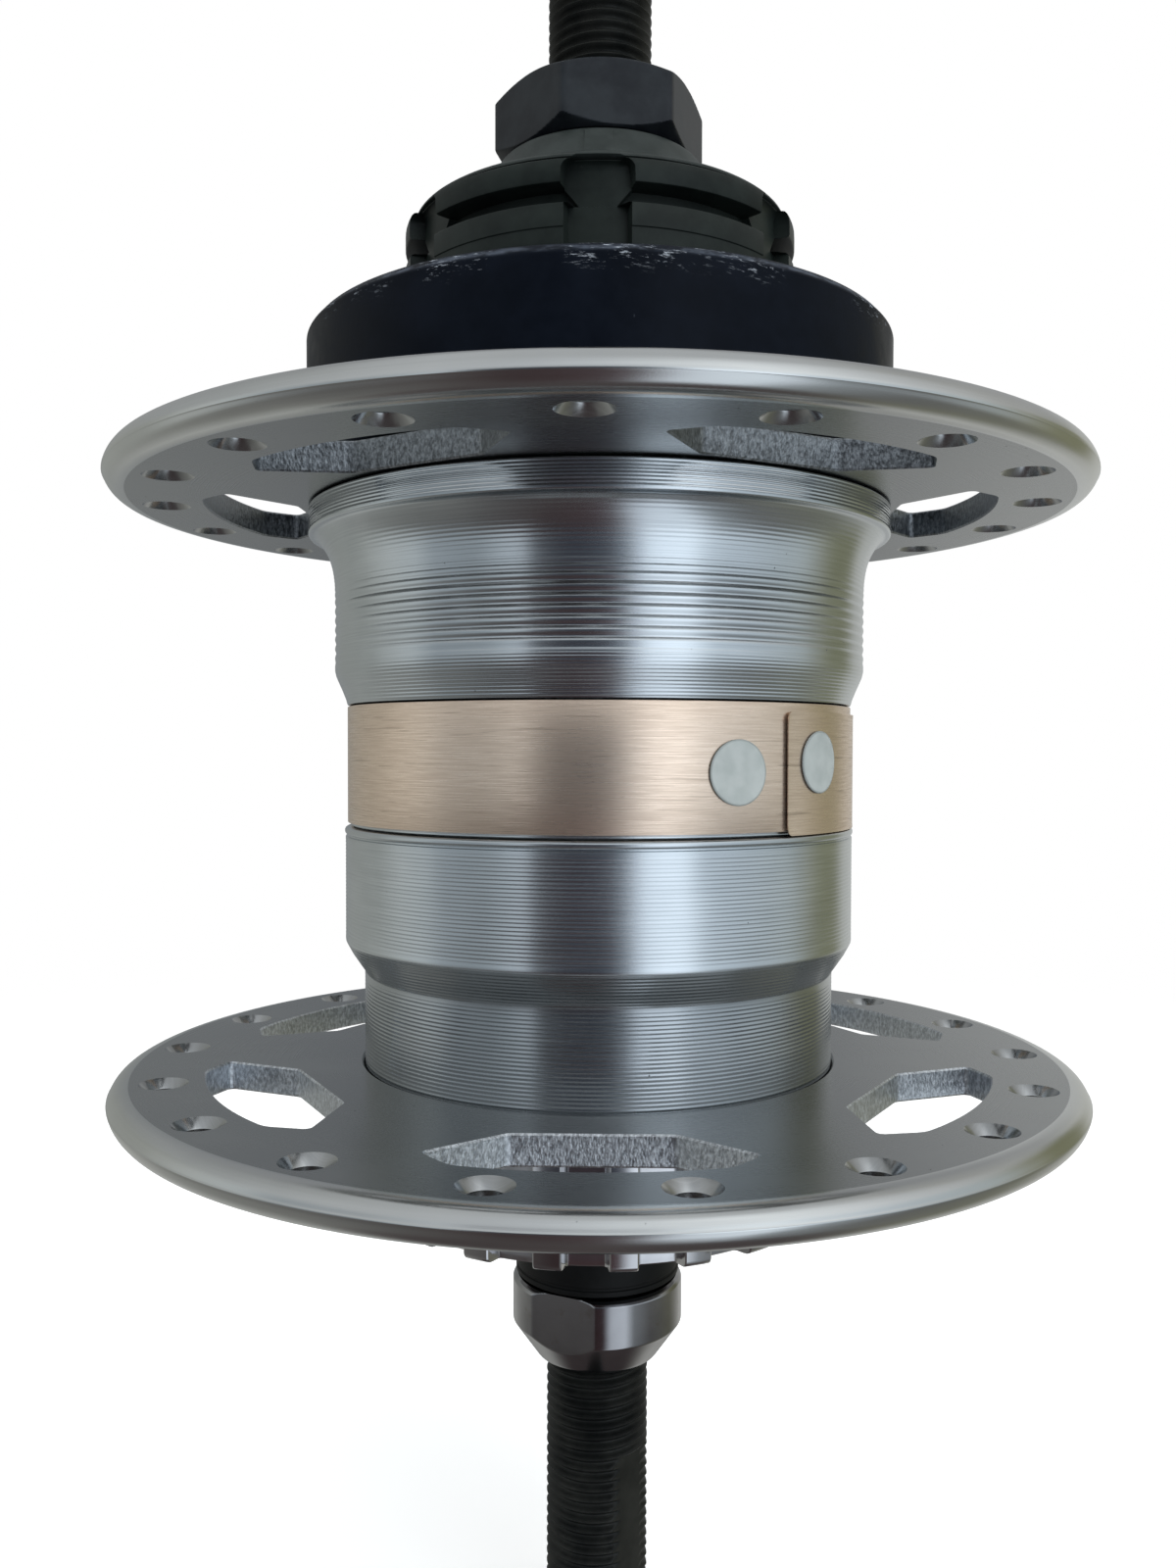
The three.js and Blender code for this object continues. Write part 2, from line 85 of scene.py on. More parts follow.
TAU = 2 * math.pi


# ------------------------------------------------------------------ camera
cam_data = bpy.data.cameras.new("camera")
cam_data.sensor_fit = "AUTO"
cam_data.sensor_width = 36.0
cam_data.lens = 30.0
cam_data.clip_start = 0.004
cam_data.clip_end = 50.0
cam = bpy.data.objects.new("camera", cam_data)
scene.collection.objects.link(cam)
cam.location = (-0.00101, -0.12647, -0.0017)
cam.rotation_euler = (Euler((math.radians(90 - 1.49), 0, 0)).to_matrix() @ Matrix.Rotation(math.radians(0.128), 3, "Z")).to_euler()
scene.camera = cam


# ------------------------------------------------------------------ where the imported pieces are
def span(node):
    """Outer radius, lowest z and highest z of a CAD node, in millimetres."""
    lo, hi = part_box(node)
    r = max(abs(lo.x), abs(hi.x), abs(lo.y), abs(hi.y))
    return r / MM, lo.z / MM, hi.z / MM


# ------------------------------------------------------------------ node graphs
class Graph:
    def __init__(self, name, world=False):
        if world:
            self.owner = bpy.data.worlds.new(name)
        else:
            self.owner = bpy.data.materials.new(name)
        self.owner.use_nodes = True
        self.tree = self.owner.node_tree
        self.nodes = self.tree.nodes
        self.shader = self.nodes.get("Principled BSDF")

    def node(self, kind, inputs=None, **attrs):
        n = self.nodes.new(kind)
        for k, v in attrs.items():
            setattr(n, k, v)
        for k, v in (inputs or {}).items():
            self.set(n.inputs[k], v)
        return n

    def set(self, socket, value):
        if isinstance(value, bpy.types.NodeSocket):
            self.tree.links.new(value, socket)
        else:
            socket.default_value = value

    def math(self, op, a, b=0.0, c=None, clamp=False):
        n = self.node("ShaderNodeMath", operation=op, use_clamp=clamp)
        self.set(n.inputs[0], a)
        self.set(n.inputs[1], b)
        if c is not None:
            self.set(n.inputs[2], c)
        return n.outputs[0]

    def rescale(self, v, a0, a1, b0=0.0, b1=1.0, smooth=True):
        n = self.node("ShaderNodeMapRange", interpolation_type="SMOOTHSTEP" if smooth else "LINEAR")
        for i, x in enumerate((v, a0, a1, b0, b1)):
            self.set(n.inputs[i], x)
        return n.outputs[0]

    def coords(self):
        """x, y, z in millimetres, radius and angle about the axle."""
        tc = self.node("ShaderNodeTexCoord")
        sep = self.node("ShaderNodeSeparateXYZ", {0: tc.outputs["Object"]})
        x, y, z = [self.math("MULTIPLY", sep.outputs[i], 1000.0) for i in range(3)]
        r = self.math("SQRT", self.math("ADD", self.math("MULTIPLY", x, x), self.math("MULTIPLY", y, y)))
        th = self.math("ARCTAN2", y, x)
        return x, y, z, r, th

    def combine(self, x, y, z):
        n = self.node("ShaderNodeCombineXYZ")
        for i, v in enumerate((x, y, z)):
            self.set(n.inputs[i], v)
        return n.outputs[0]

    def noise(self, vec, scale=1.0, detail=3.0, rough=0.55, distortion=0.0):
        n = self.node("ShaderNodeTexNoise", {"Vector": vec, "Scale": scale, "Detail": detail, "Roughness": rough, "Distortion": distortion})
        return n.outputs[0]

    def ramp(self, fac, stops, mode="LINEAR"):
        n = self.node("ShaderNodeValToRGB")
        self.set(n.inputs[0], fac)
        cr = n.color_ramp
        cr.interpolation = mode
        while len(cr.elements) > 1:
            cr.elements.remove(cr.elements[-1])
        cr.elements[0].position, cr.elements[0].color = stops[0][0], rgba(stops[0][1])
        for p, c in stops[1:]:
            e = cr.elements.new(p)
            e.color = rgba(c)
        return n.outputs[0]

    def mix(self, fac, a, b, blend="MIX"):
        n = self.node("ShaderNodeMix", data_type="RGBA", blend_type=blend)
        self.set(n.inputs[0], fac)
        self.set(n.inputs[6], a if isinstance(a, bpy.types.NodeSocket) else rgba(a))
        self.set(n.inputs[7], b if isinstance(b, bpy.types.NodeSocket) else rgba(b))
        return n.outputs[2]

    def bump(self, height, distance, strength=1.0, normal=None):
        n = self.node("ShaderNodeBump", {"Height": height, "Distance": distance * MM, "Strength": strength})
        if normal is not None:
            self.set(n.inputs["Normal"], normal)
        return n.outputs[0]

    def finish(self, **sockets):
        for k, v in sockets.items():
            k = k.replace("_", " ")
            self.set(self.shader.inputs[k], v if isinstance(v, bpy.types.NodeSocket) or not isinstance(v, tuple) else rgba(v))
        return self.owner


def rgba(c):
    if isinstance(c, (int, float)):
        c = (c, c, c)
    c = tuple(c)
    return c if len(c) == 4 else c + (1.0,)


def srgb(r, g, b):
    out = []
    for v in (r, g, b):
        v /= 255.0
        out.append(v / 12.92 if v <= 0.04045 else ((v + 0.055) / 1.055) ** 2.4)
    return tuple(out)


# ------------------------------------------------------------------ materials
def turned_metal(name, dark, light, rough=0.3, pitch=0.3, line=0.004, streak=1.0, speck=0.5, flat=False, grit=0.0016):
    """Lathe-turned metal: rings of the tool, fine streaks round the axle, a few pits and a cloudy sheen."""
    g = Graph(name)
    x, y, z, r, th = g.coords()
    along = r if flat else z
    cx, sy = g.math("COSINE", th), g.math("SINE", th)
    vec = g.combine(g.math("MULTIPLY", cx, 2.2), g.math("MULTIPLY", sy, 2.2), g.math("MULTIPLY", along, 7.0))
    fine = g.noise(vec, 1.0, 4.0, 0.6)
    cloud = g.noise(g.combine(x, y, z), 0.11, 2.0, 0.5)
    grain = g.noise(g.combine(x, y, z), 9.0, 2.0, 0.5)
    tone = g.math("ADD", g.math("MULTIPLY", fine, 0.65 * streak), g.math("MULTIPLY", cloud, 0.6))
    tone = g.rescale(tone, 0.3, 0.95, 0.0, 1.0)
    colour = g.mix(tone, dark, light)
    vor = g.node("ShaderNodeTexVoronoi", {"Vector": g.combine(x, y, z), "Scale": 0.5, "Randomness": 1.0})
    pit = g.rescale(vor.outputs[0], 0.022, 0.05, 1.0, 0.0)
    keep = g.rescale(g.noise(g.combine(x, y, z), 0.37, 0.0), 0.56, 0.6, 0.0, speck)
    spots = g.math("MULTIPLY", pit, keep)
    colour = g.mix(spots, colour, (0.05, 0.05, 0.05))
    rr = g.math("ADD", g.math("MULTIPLY", fine, 0.16 * streak), g.math("MULTIPLY", cloud, 0.08))
    rr = g.math("ADD", rr, rough - 0.12)
    rr = g.math("ADD", rr, g.math("MULTIPLY", spots, 0.3))
    rings = g.noise(g.combine(0.0, 0.0, g.math("MULTIPLY", along, 5.0)), 1.0, 3.0, 0.6)
    height = g.math("ADD", g.math("MULTIPLY", rings, 0.5), g.math("MULTIPLY", fine, 0.06))
    if pitch:
        wave = g.math("SINE", g.math("MULTIPLY", along, TAU / pitch))
        height = g.math("ADD", height, g.math("MULTIPLY", wave, 0.5))
    n1 = g.bump(height, line)
    n2 = g.bump(grain, grit, 1.0, n1)
    return g.finish(Base_Color=colour, Metallic=1.0, Roughness=rr, Normal=n2)


def polished_metal(name, dark, light, rough=0.1, scratch=0.0012, warm=None):
    g = Graph(name)
    x, y, z, r, th = g.coords()
    cloud = g.noise(g.combine(x, y, z), 0.16, 3.0, 0.55)
    vec = g.combine(g.math("MULTIPLY", g.math("COSINE", th), 6.0), g.math("MULTIPLY", g.math("SINE", th), 6.0), g.math("MULTIPLY", z, 9.0))
    fine = g.noise(vec, 1.0, 4.0, 0.6)
    colour = g.mix(g.rescale(cloud, 0.3, 0.7), dark, light)
    if warm is not None:
        spot = g.rescale(g.noise(g.combine(x, y, z), 0.55, 3.0, 0.6), 0.62, 0.78, 0.0, 0.5)
        colour = g.mix(spot, colour, warm)
    rr = g.math("ADD", g.math("MULTIPLY", fine, 0.08), g.math("MULTIPLY", cloud, 0.07))
    rr = g.math("ADD", rr, max(rough - 0.06, 0.01))
    n1 = g.bump(fine, scratch)
    return g.finish(Base_Color=colour, Metallic=1.0, Roughness=rr, Normal=n1)


def granular_metal(name, dark, light, rough=0.34, size=5.0, depth=0.07):
    """Torn, sparkling wall that a punch or a casting leaves."""
    g = Graph(name)
    x, y, z, r, th = g.coords()
    p = g.combine(x, y, g.math("MULTIPLY", z, 0.55))
    a = g.noise(p, size * 0.5, 4.0, 0.7)
    b = g.node("ShaderNodeTexVoronoi", {"Vector": p, "Scale": size * 0.75, "Randomness": 1.0}).outputs[0]
    tone = g.rescale(a, 0.35, 0.68)
    colour = g.mix(tone, dark, light)
    height = g.math("ADD", a, g.math("MULTIPLY", b, 0.6))
    n1 = g.bump(height, depth)
    rr = g.rescale(a, 0.3, 0.7, rough - 0.08, rough + 0.14)
    return g.finish(Base_Color=colour, Metallic=1.0, Roughness=rr, Normal=n1)


def foil_metal(name):
    """Brushed copper-coloured foil: long fine streaks round the barrel, a few of them dark."""
    g = Graph(name)
    x, y, z, r, th = g.coords()
    arc = g.math("MULTIPLY", th, 23.9)
    v1 = g.combine(g.math("MULTIPLY", arc, 0.22), g.math("MULTIPLY", z, 9.0), 3.1)
    v2 = g.combine(g.math("MULTIPLY", arc, 0.5), g.math("MULTIPLY", z, 22.0), 7.7)
    a = g.noise(v1, 1.0, 5.0, 0.62)
    b = g.noise(v2, 1.0, 3.0, 0.6)
    v3 = g.combine(g.math("MULTIPLY", arc, 0.13), g.math("MULTIPLY", z, 3.6), 1.3)
    c = g.noise(v3, 1.0, 3.0, 0.5)
    light, mid, dark = (0.82, 0.665, 0.54), (0.68, 0.54, 0.43), (0.36, 0.28, 0.215)
    colour = g.mix(g.rescale(a, 0.34, 0.62), mid, light)
    colour = g.mix(g.rescale(b, 0.60, 0.74, 0.0, 0.55), colour, dark)
    colour = g.mix(g.rescale(c, 0.64, 0.72, 0.0, 0.5), colour, dark)
    h = g.math("ADD", g.math("MULTIPLY", a, 0.7), g.math("MULTIPLY", b, 0.5))
    n1 = g.bump(h, 0.008)
    rr = g.rescale(a, 0.3, 0.7, 0.34, 0.26)
    return g.finish(Base_Color=colour, Metallic=0.93, Roughness=rr, Normal=n1)


def dark_coating(name, base, light, rough=0.42, metallic=0.0, coat=0.0, grain=0.004, wear=0.0, wear_colour=(0.25, 0.25, 0.26), coarse=2.2, spec=0.4):
    """Black oxide, paint or hard plastic: fine tooth, cloudy sheen, a little wear."""
    g = Graph(name)
    x, y, z, r, th = g.coords()
    p = g.combine(x, y, z)
    cloud = g.noise(p, 0.28, 4.0, 0.6)
    tooth = g.noise(p, coarse * 3.0, 3.0, 0.6)
    colour = g.mix(g.rescale(cloud, 0.3, 0.72), base, light)
    if wear > 0:
        v = g.combine(g.math("MULTIPLY", x, 1.4), g.math("MULTIPLY", y, 1.4), g.math("MULTIPLY", z, 2.2))
        w = g.rescale(g.noise(v, 1.0, 6.0, 0.68), 0.69, 0.78, 0.0, wear)
        colour = g.mix(w, colour, wear_colour)
    rr = g.math("ADD", g.math("MULTIPLY", cloud, 0.16), rough - 0.08)
    n1 = g.bump(tooth, grain)
    n2 = g.bump(cloud, grain * 2.5, 1.0, n1)
    return g.finish(Base_Color=colour, Metallic=metallic, Roughness=rr, Coat_Weight=coat, Coat_Roughness=0.25, Specular_IOR_Level=spec, Normal=n2)


def scuffed_plastic(name):
    """The wide dust ring: blue-black moulded plastic with white scuffs along its top edge and small nicks on its side."""
    g = Graph(name)
    x, y, z, r, th = g.coords()
    p = g.combine(x, y, z)
    arc = g.math("MULTIPLY", th, 27.5)
    _, z0, z1 = span("right_dust_ring")
    cloud = g.noise(p, 0.22, 4.0, 0.6)
    tooth = g.noise(p, 7.0, 3.0, 0.6)
    colour = g.mix(g.rescale(cloud, 0.3, 0.7), srgb(5, 9, 17), srgb(11, 16, 25))
    # dull dust on the top land and a pale rubbed line on the edge
    top = g.rescale(z, z1 - 2.6, z1 - 0.1)
    edge = g.rescale(g.math("ABSOLUTE", g.math("SUBTRACT", z, z1 - 0.42)), 0.05, 0.45, 1.0, 0.0)
    worn = g.rescale(g.noise(g.combine(g.math("MULTIPLY", arc, 0.33), g.math("MULTIPLY", z, 0.9), 2.0), 1.0, 4.0, 0.62), 0.42, 0.66)
    colour = g.mix(g.math("MULTIPLY", g.math("MULTIPLY", edge, worn), 0.28), colour, srgb(112, 122, 138))
    # scuffs: short slanting strokes gathered in a few places
    run = g.math("SUBTRACT", z, r)
    stroke = g.noise(g.combine(g.math("ADD", g.math("MULTIPLY", arc, 1.0), g.math("MULTIPLY", run, 1.3)), g.math("MULTIPLY", run, 3.4), 5.5), 1.0, 5.0, 0.72)
    place = g.noise(g.combine(g.math("MULTIPLY", arc, 0.16), 1.7, 9.2), 1.0, 1.0, 0.5)
    scuff = g.math("MULTIPLY", g.rescale(stroke, 0.56, 0.66), g.rescale(place, 0.47, 0.60))
    scuff = g.math("MULTIPLY", g.math("MULTIPLY", scuff, top), g.rescale(r, 21.5, 26.0, 0.15, 1.0))
    colour = g.mix(g.math("MULTIPLY", scuff, 0.75), colour, srgb(190, 198, 208))
    vor = g.node("ShaderNodeTexVoronoi", {"Vector": g.combine(arc, g.math("MULTIPLY", z, 0.6), 0.0), "Scale": 0.5, "Randomness": 1.0})
    nick = g.rescale(vor.outputs[0], 0.03, 0.07, 1.0, 0.0)
    some = g.rescale(g.noise(g.combine(arc, z, 4.0), 0.31, 0.0), 0.55, 0.62)
    nick = g.math("MULTIPLY", nick, some)
    colour = g.mix(g.math("MULTIPLY", nick, 0.6), colour, srgb(120, 128, 140))
    hair = g.noise(g.combine(g.math("MULTIPLY", arc, 3.2), g.math("MULTIPLY", run, 0.9), 2.2), 1.0, 2.0, 0.5)
    rr = g.math("ADD", g.rescale(cloud, 0.3, 0.7, 0.34, 0.46), g.math("MULTIPLY", scuff, 0.25))
    n1 = g.bump(tooth, 0.003)
    n2 = g.bump(g.math("ADD", g.math("MULTIPLY", hair, 0.4), g.math("MULTIPLY", scuff, -0.8)), 0.012, 1.0, n1)
    return g.finish(Base_Color=colour, Metallic=0.0, Roughness=rr, Specular_IOR_Level=0.06, Normal=n2)


def paper(name, centre_th, centre_z, size, radius):
    """Pale round sticker: matt paper, painted shade as a faint grey band along its rim, slight unevenness and a little
    dirt.
    """
    g = Graph(name)
    x, y, z, r, th = g.coords()
    p = g.combine(x, y, z)
    du = g.math("MULTIPLY", g.math("SUBTRACT", th, math.radians(centre_th)), radius)
    dv = g.math("SUBTRACT", z, centre_z)
    d = g.math("SQRT", g.math("ADD", g.math("MULTIPLY", du, du), g.math("MULTIPLY", dv, dv)))
    fibre = g.noise(p, 5.0, 4.0, 0.7)
    cloud = g.noise(p, 0.5, 2.0, 0.5)
    colour = g.mix(g.rescale(cloud, 0.3, 0.7), srgb(166, 173, 171), srgb(181, 187, 185))
    colour = g.mix(g.rescale(fibre, 0.55, 0.75, 0.0, 0.25), colour, srgb(150, 157, 155))
    # painted shade: a grey band along the rim stands in for the shadow at the sticker's raised edge
    ring = g.rescale(d, size - 0.22, size - 0.05, 0.0, 0.55)
    colour = g.mix(ring, colour, srgb(118, 124, 123))
    n1 = g.bump(fibre, 0.006)
    rr = g.rescale(fibre, 0.3, 0.7, 0.5, 0.64)
    return g.finish(Base_Color=colour, Metallic=0.0, Roughness=rr, Normal=n1)


ALU = dict(dark=(0.45, 0.485, 0.51), light=(0.64, 0.68, 0.71))
M = {
    "alu_turned": turned_metal("turned_aluminium", ALU["dark"], ALU["light"], 0.225, 0.29, 0.022, 0.8, 0.6),
    "alu_grooved": turned_metal("grooved_aluminium", ALU["dark"], ALU["light"], 0.225, 0, 0.006, 0.8, 0.7),
    # painted shade: a darker copy of the grooved aluminium for the barrel's lower foot, standing in for the dimmer
    # light it gets under the flange
    "alu_foot_painted_shade": turned_metal("grooved_aluminium_foot_painted_shade", (0.33, 0.355, 0.375), (0.48, 0.51, 0.535), 0.225, 0, 0.006, 0.8, 0.7),
    "alu_smooth": turned_metal("smooth_aluminium", ALU["dark"], ALU["light"], 0.24, 0, 0.003, 0.6, 0.5),
    # painted shade: a darker copy of the turned aluminium for the barrel's downward chamfer, standing in for the dark
    # surroundings it reflects
    "alu_chamfer_painted_shade": turned_metal("turned_chamfer_painted_shade", (0.34, 0.37, 0.39), (0.46, 0.49, 0.51), 0.25, 0.3, 0.018, 0.8, 0.5),
    "alu_satin": turned_metal("satin_flange", (0.31, 0.322, 0.328), (0.41, 0.425, 0.425), 0.32, 0, 0.003, 0.4, 0.8, flat=True, grit=0.003),
    "alu_bead": turned_metal("polished_rim", (0.53, 0.545, 0.545), (0.64, 0.655, 0.655), 0.235, 0, 0.003, 0.5, 0.3),
    "alu_cut": turned_metal("cut_countersink", (0.34, 0.35, 0.355), (0.54, 0.55, 0.56), 0.25, 0, 0.003, 0.6, 0.0, flat=True),
    "alu_wall": granular_metal("granular_wall", (0.34, 0.36, 0.385), (0.78, 0.82, 0.86), 0.36, 7.0, 0.05),
    # painted shade: a darker copy of the granular wall for the cutouts of the upper flange, which is seen from below in
    # shade
    "alu_wall_upper_painted_shade": granular_metal("granular_wall_upper_painted_shade", (0.13, 0.14, 0.15), (0.36, 0.39, 0.42), 0.38, 7.0, 0.05),
    "chrome": polished_metal("chrome_plate", (0.40, 0.40, 0.415), (0.54, 0.54, 0.555), 0.11, 0.0016, warm=(0.30, 0.26, 0.22)),
    # painted shade: a darker copy of the chrome plate for the left cone, standing in for the shade it sits in below the
    # flange
    "chrome_painted_shade": polished_metal("chrome_plate_painted_shade", (0.25, 0.25, 0.262), (0.33, 0.33, 0.342), 0.10, 0.0016, warm=(0.22, 0.19, 0.165)),
    "nut_black": dark_coating("black_oxide_nut", srgb(22, 25, 30), srgb(36, 40, 44), 0.36, 0.2, 0.0, 0.004, 0.25, (0.07, 0.07, 0.075), spec=0.22),
    "axle_black": dark_coating("oiled_black_thread", srgb(23, 25, 25), srgb(43, 44, 42), 0.36, 0.35, 0.0, 0.006, 0.45, srgb(78, 76, 50), 3.0, spec=0.2),
    "driver_black": dark_coating("driver_black", srgb(20, 25, 24), srgb(31, 37, 35), 0.40, 0.1, 0.0, 0.005, 0.25, (0.09, 0.10, 0.095), spec=0.16),
    "cap_black": dark_coating("cap_black", srgb(33, 38, 37), srgb(46, 51, 50), 0.42, 0.0, 0.0, 0.005, 0.2, (0.09, 0.10, 0.095), spec=0.16),
    "dust_ring": scuffed_plastic("scuffed_dust_ring"),
    "rubber": dark_coating("black_rubber", srgb(8, 9, 9), srgb(18, 19, 19), 0.55, 0.0, 0.0, 0.01, spec=0.2),
    "foil": foil_metal("copper_foil"),
    "gear_steel": turned_metal("ground_gear_steel", (0.30, 0.30, 0.31), (0.50, 0.50, 0.51), 0.34, 0.22, 0.004, 1.0, 0.6),
    "bearing_steel": polished_metal("bearing_steel", (0.52, 0.52, 0.53), (0.68, 0.68, 0.69), 0.16, 0.002),
    "spring_steel": polished_metal("spring_steel", (0.42, 0.42, 0.43), (0.60, 0.60, 0.60), 0.26, 0.003),
    "dark_steel": dark_coating("hardened_dark_steel", srgb(46, 46, 47), srgb(78, 78, 79), 0.36, 0.8, 0.0, 0.004, 0.3, (0.25, 0.25, 0.26)),
}


# ------------------------------------------------------------------ mesh building
def arc_corner(prev, p, nxt, radius, seg):
    a, b = prev - p, nxt - p
    la, lb = np.linalg.norm(a), np.linalg.norm(b)
    if la < 1e-9 or lb < 1e-9 or radius <= 0:
        return [p]
    a, b = a / la, b / lb
    ang = math.acos(max(-1.0, min(1.0, float(a @ b))))
    if ang > math.pi - 0.08:
        return [p]
    t = min(radius / math.tan(ang / 2), 0.46 * la, 0.46 * lb)
    A, B = p + a * t, p + b * t
    us = np.linspace(0, 1, seg + 1)
    w = math.sin(ang / 2)
    out = []
    for u in us:
        k0, k1, k2 = (1 - u) ** 2, 2 * u * (1 - u) * w, u * u
        out.append((k0 * A + k1 * p + k2 * B) / (k0 + k1 + k2))
    return out


def rounded(points, radius=0.15, seg=3, closed=True):
    """Profile with its corners rounded; a third number on a point is that corner's own radius."""
    pts = [np.array(p[:2], float) for p in points]
    rad = [p[2] if len(p) > 2 else radius for p in points]
    out = []
    n = len(pts)
    for i, p in enumerate(pts):
        if not closed and i in (0, n - 1):
            out.append(p)
            continue
        out += arc_corner(pts[i - 1], p, pts[(i + 1) % n], rad[i], seg)
    return np.array(out)


def smooth_line(points, per=6):
    """Catmull-Rom curve through the points."""
    P = [np.array(p, float) for p in points]
    P = [2 * P[0] - P[1]] + P + [2 * P[-1] - P[-2]]
    out = []
    for i in range(1, len(P) - 2):
        for u in np.linspace(0, 1, per, endpoint=False):
            a, b, c, d = P[i - 1:i + 3]
            out.append(0.5 * (2 * b + (c - a) * u + (2 * a - 5 * b + 4 * c - d) * u * u + (3 * b - a - 3 * c + d) * u ** 3))
    out.append(P[-2])
    return np.array(out)


def polar(R, T, Z):
    return np.stack([R * np.cos(T), R * np.sin(T), Z], axis=-1)


class Mesh:
    def __init__(self):
        self.verts, self.faces, self.count = [], [], 0

    def grid(self, P, closed_rows=False, shift=0):
        """Quads over rows x columns; the columns always close on themselves."""
        m, n = P.shape[:2]
        base = self.count
        self.verts.append(P.reshape(-1, 3))
        self.count += m * n
        idx = base + np.arange(m * n).reshape(m, n)
        for i in range(m if closed_rows else m - 1):
            a, b = idx[i], idx[(i + 1) % m]
            a2, b2 = np.roll(a, -1), np.roll(b, -1)
            if shift:
                a2 = a2.copy()
                b2 = b2.copy()
                a2[-1] = idx[min(i + shift, m - 1), 0]
                b2[-1] = idx[min(i + 1 + shift, m - 1), 0]
            self.faces += np.stack([a, a2, b2, b], axis=1).tolist()
        return self

    def patch(self, P):
        """Quads over an open rows x columns grid."""
        m, n = P.shape[:2]
        base = self.count
        self.verts.append(P.reshape(-1, 3))
        self.count += m * n
        idx = base + np.arange(m * n).reshape(m, n)
        self.faces += np.stack([idx[:-1, :-1], idx[:-1, 1:], idx[1:, 1:], idx[1:, :-1]], axis=-1).reshape(-1, 4).tolist()
        return self

    def build(self, name, mats, pick=None, sharp=32.0, weld=2e-4):
        V = np.concatenate(self.verts)
        me = bpy.data.meshes.new(name)
        me.from_pydata((V * MM).tolist(), [], self.faces)
        bm = bmesh.new()
        bm.from_mesh(me)
        bmesh.ops.remove_doubles(bm, verts=bm.verts, dist=weld * MM)
        bmesh.ops.dissolve_degenerate(bm, edges=bm.edges, dist=weld * MM * 0.5)
        bmesh.ops.recalc_face_normals(bm, faces=bm.faces)
        if bm.calc_volume(signed=True) < 0:
            bmesh.ops.reverse_faces(bm, faces=bm.faces)
        bm.to_mesh(me)
        bm.free()
        ob = bpy.data.objects.new(name, me)
        scene.collection.objects.link(ob)
        for mat in mats:
            me.materials.append(mat)
        paint(me, pick)
        shade(me, sharp)
        return ob


def paint(me, pick):
    if pick is None:
        return
    n = len(me.polygons)
    c = np.zeros(n * 3)
    nn = np.zeros(n * 3)
    me.polygons.foreach_get("center", c)
    me.polygons.foreach_get("normal", nn)
    c, nn = c.reshape(-1, 3) / MM, nn.reshape(-1, 3)
    idx = pick(np.hypot(c[:, 0], c[:, 1]), c[:, 2], np.degrees(np.arctan2(c[:, 1], c[:, 0])), nn)
    me.polygons.foreach_set("material_index", np.asarray(idx, dtype=np.int32))


def shade(me, sharp):
    me.polygons.foreach_set("use_smooth", np.ones(len(me.polygons), dtype=bool))
    me.set_sharp_from_angle(angle=math.radians(sharp))
    me.update()


def angles(n, phase=0.0):
    return math.radians(phase) + np.arange(n) * TAU / n


def lathe(name, profile, mats, n=160, closed=True, pick=None, sharp=32.0, shape=None):
    P = np.asarray(profile, float)
    T = np.broadcast_to(angles(n), (len(P), n))
    R = np.repeat(P[:, :1], n, axis=1)
    Z = np.repeat(P[:, 1:2], n, axis=1)
    if shape is not None:
        R, Z = shape(R, Z, T)
    return Mesh().grid(polar(R, T, Z), closed_rows=closed).build(name, mats, pick, sharp)


def place(ob, body, slot, *nodes):
    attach(ob, body)
    if nodes:
        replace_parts(ob, *nodes)
    return ob


def hexagon(T, across, face, p=110.0):
    """Radius of a hexagon with very slightly rounded corners."""
    s = sum(np.abs(np.cos(T - math.radians(face + 60 * k))) ** p for k in range(3))
    return (across / 2) / s ** (1 / p)


def boolean_cut(ob, cutter):
    """Cuts the cutter out of ob; new faces keep the cutter's own material."""
    mod = ob.modifiers.new("cut", "BOOLEAN")
    mod.operation = "DIFFERENCE"
    mod.solver = "EXACT"
    mod.object = cutter
    mod.material_mode = "TRANSFER"
    dg = bpy.context.evaluated_depsgraph_get()
    made = bpy.data.meshes.new_from_object(ob.evaluated_get(dg), preserve_all_data_layers=True, depsgraph=dg)
    ob.modifiers.remove(mod)
    old = ob.data
    ob.data = made
    made.name = old.name
    bpy.data.meshes.remove(old)
    bpy.data.objects.remove(cutter)
    return ob


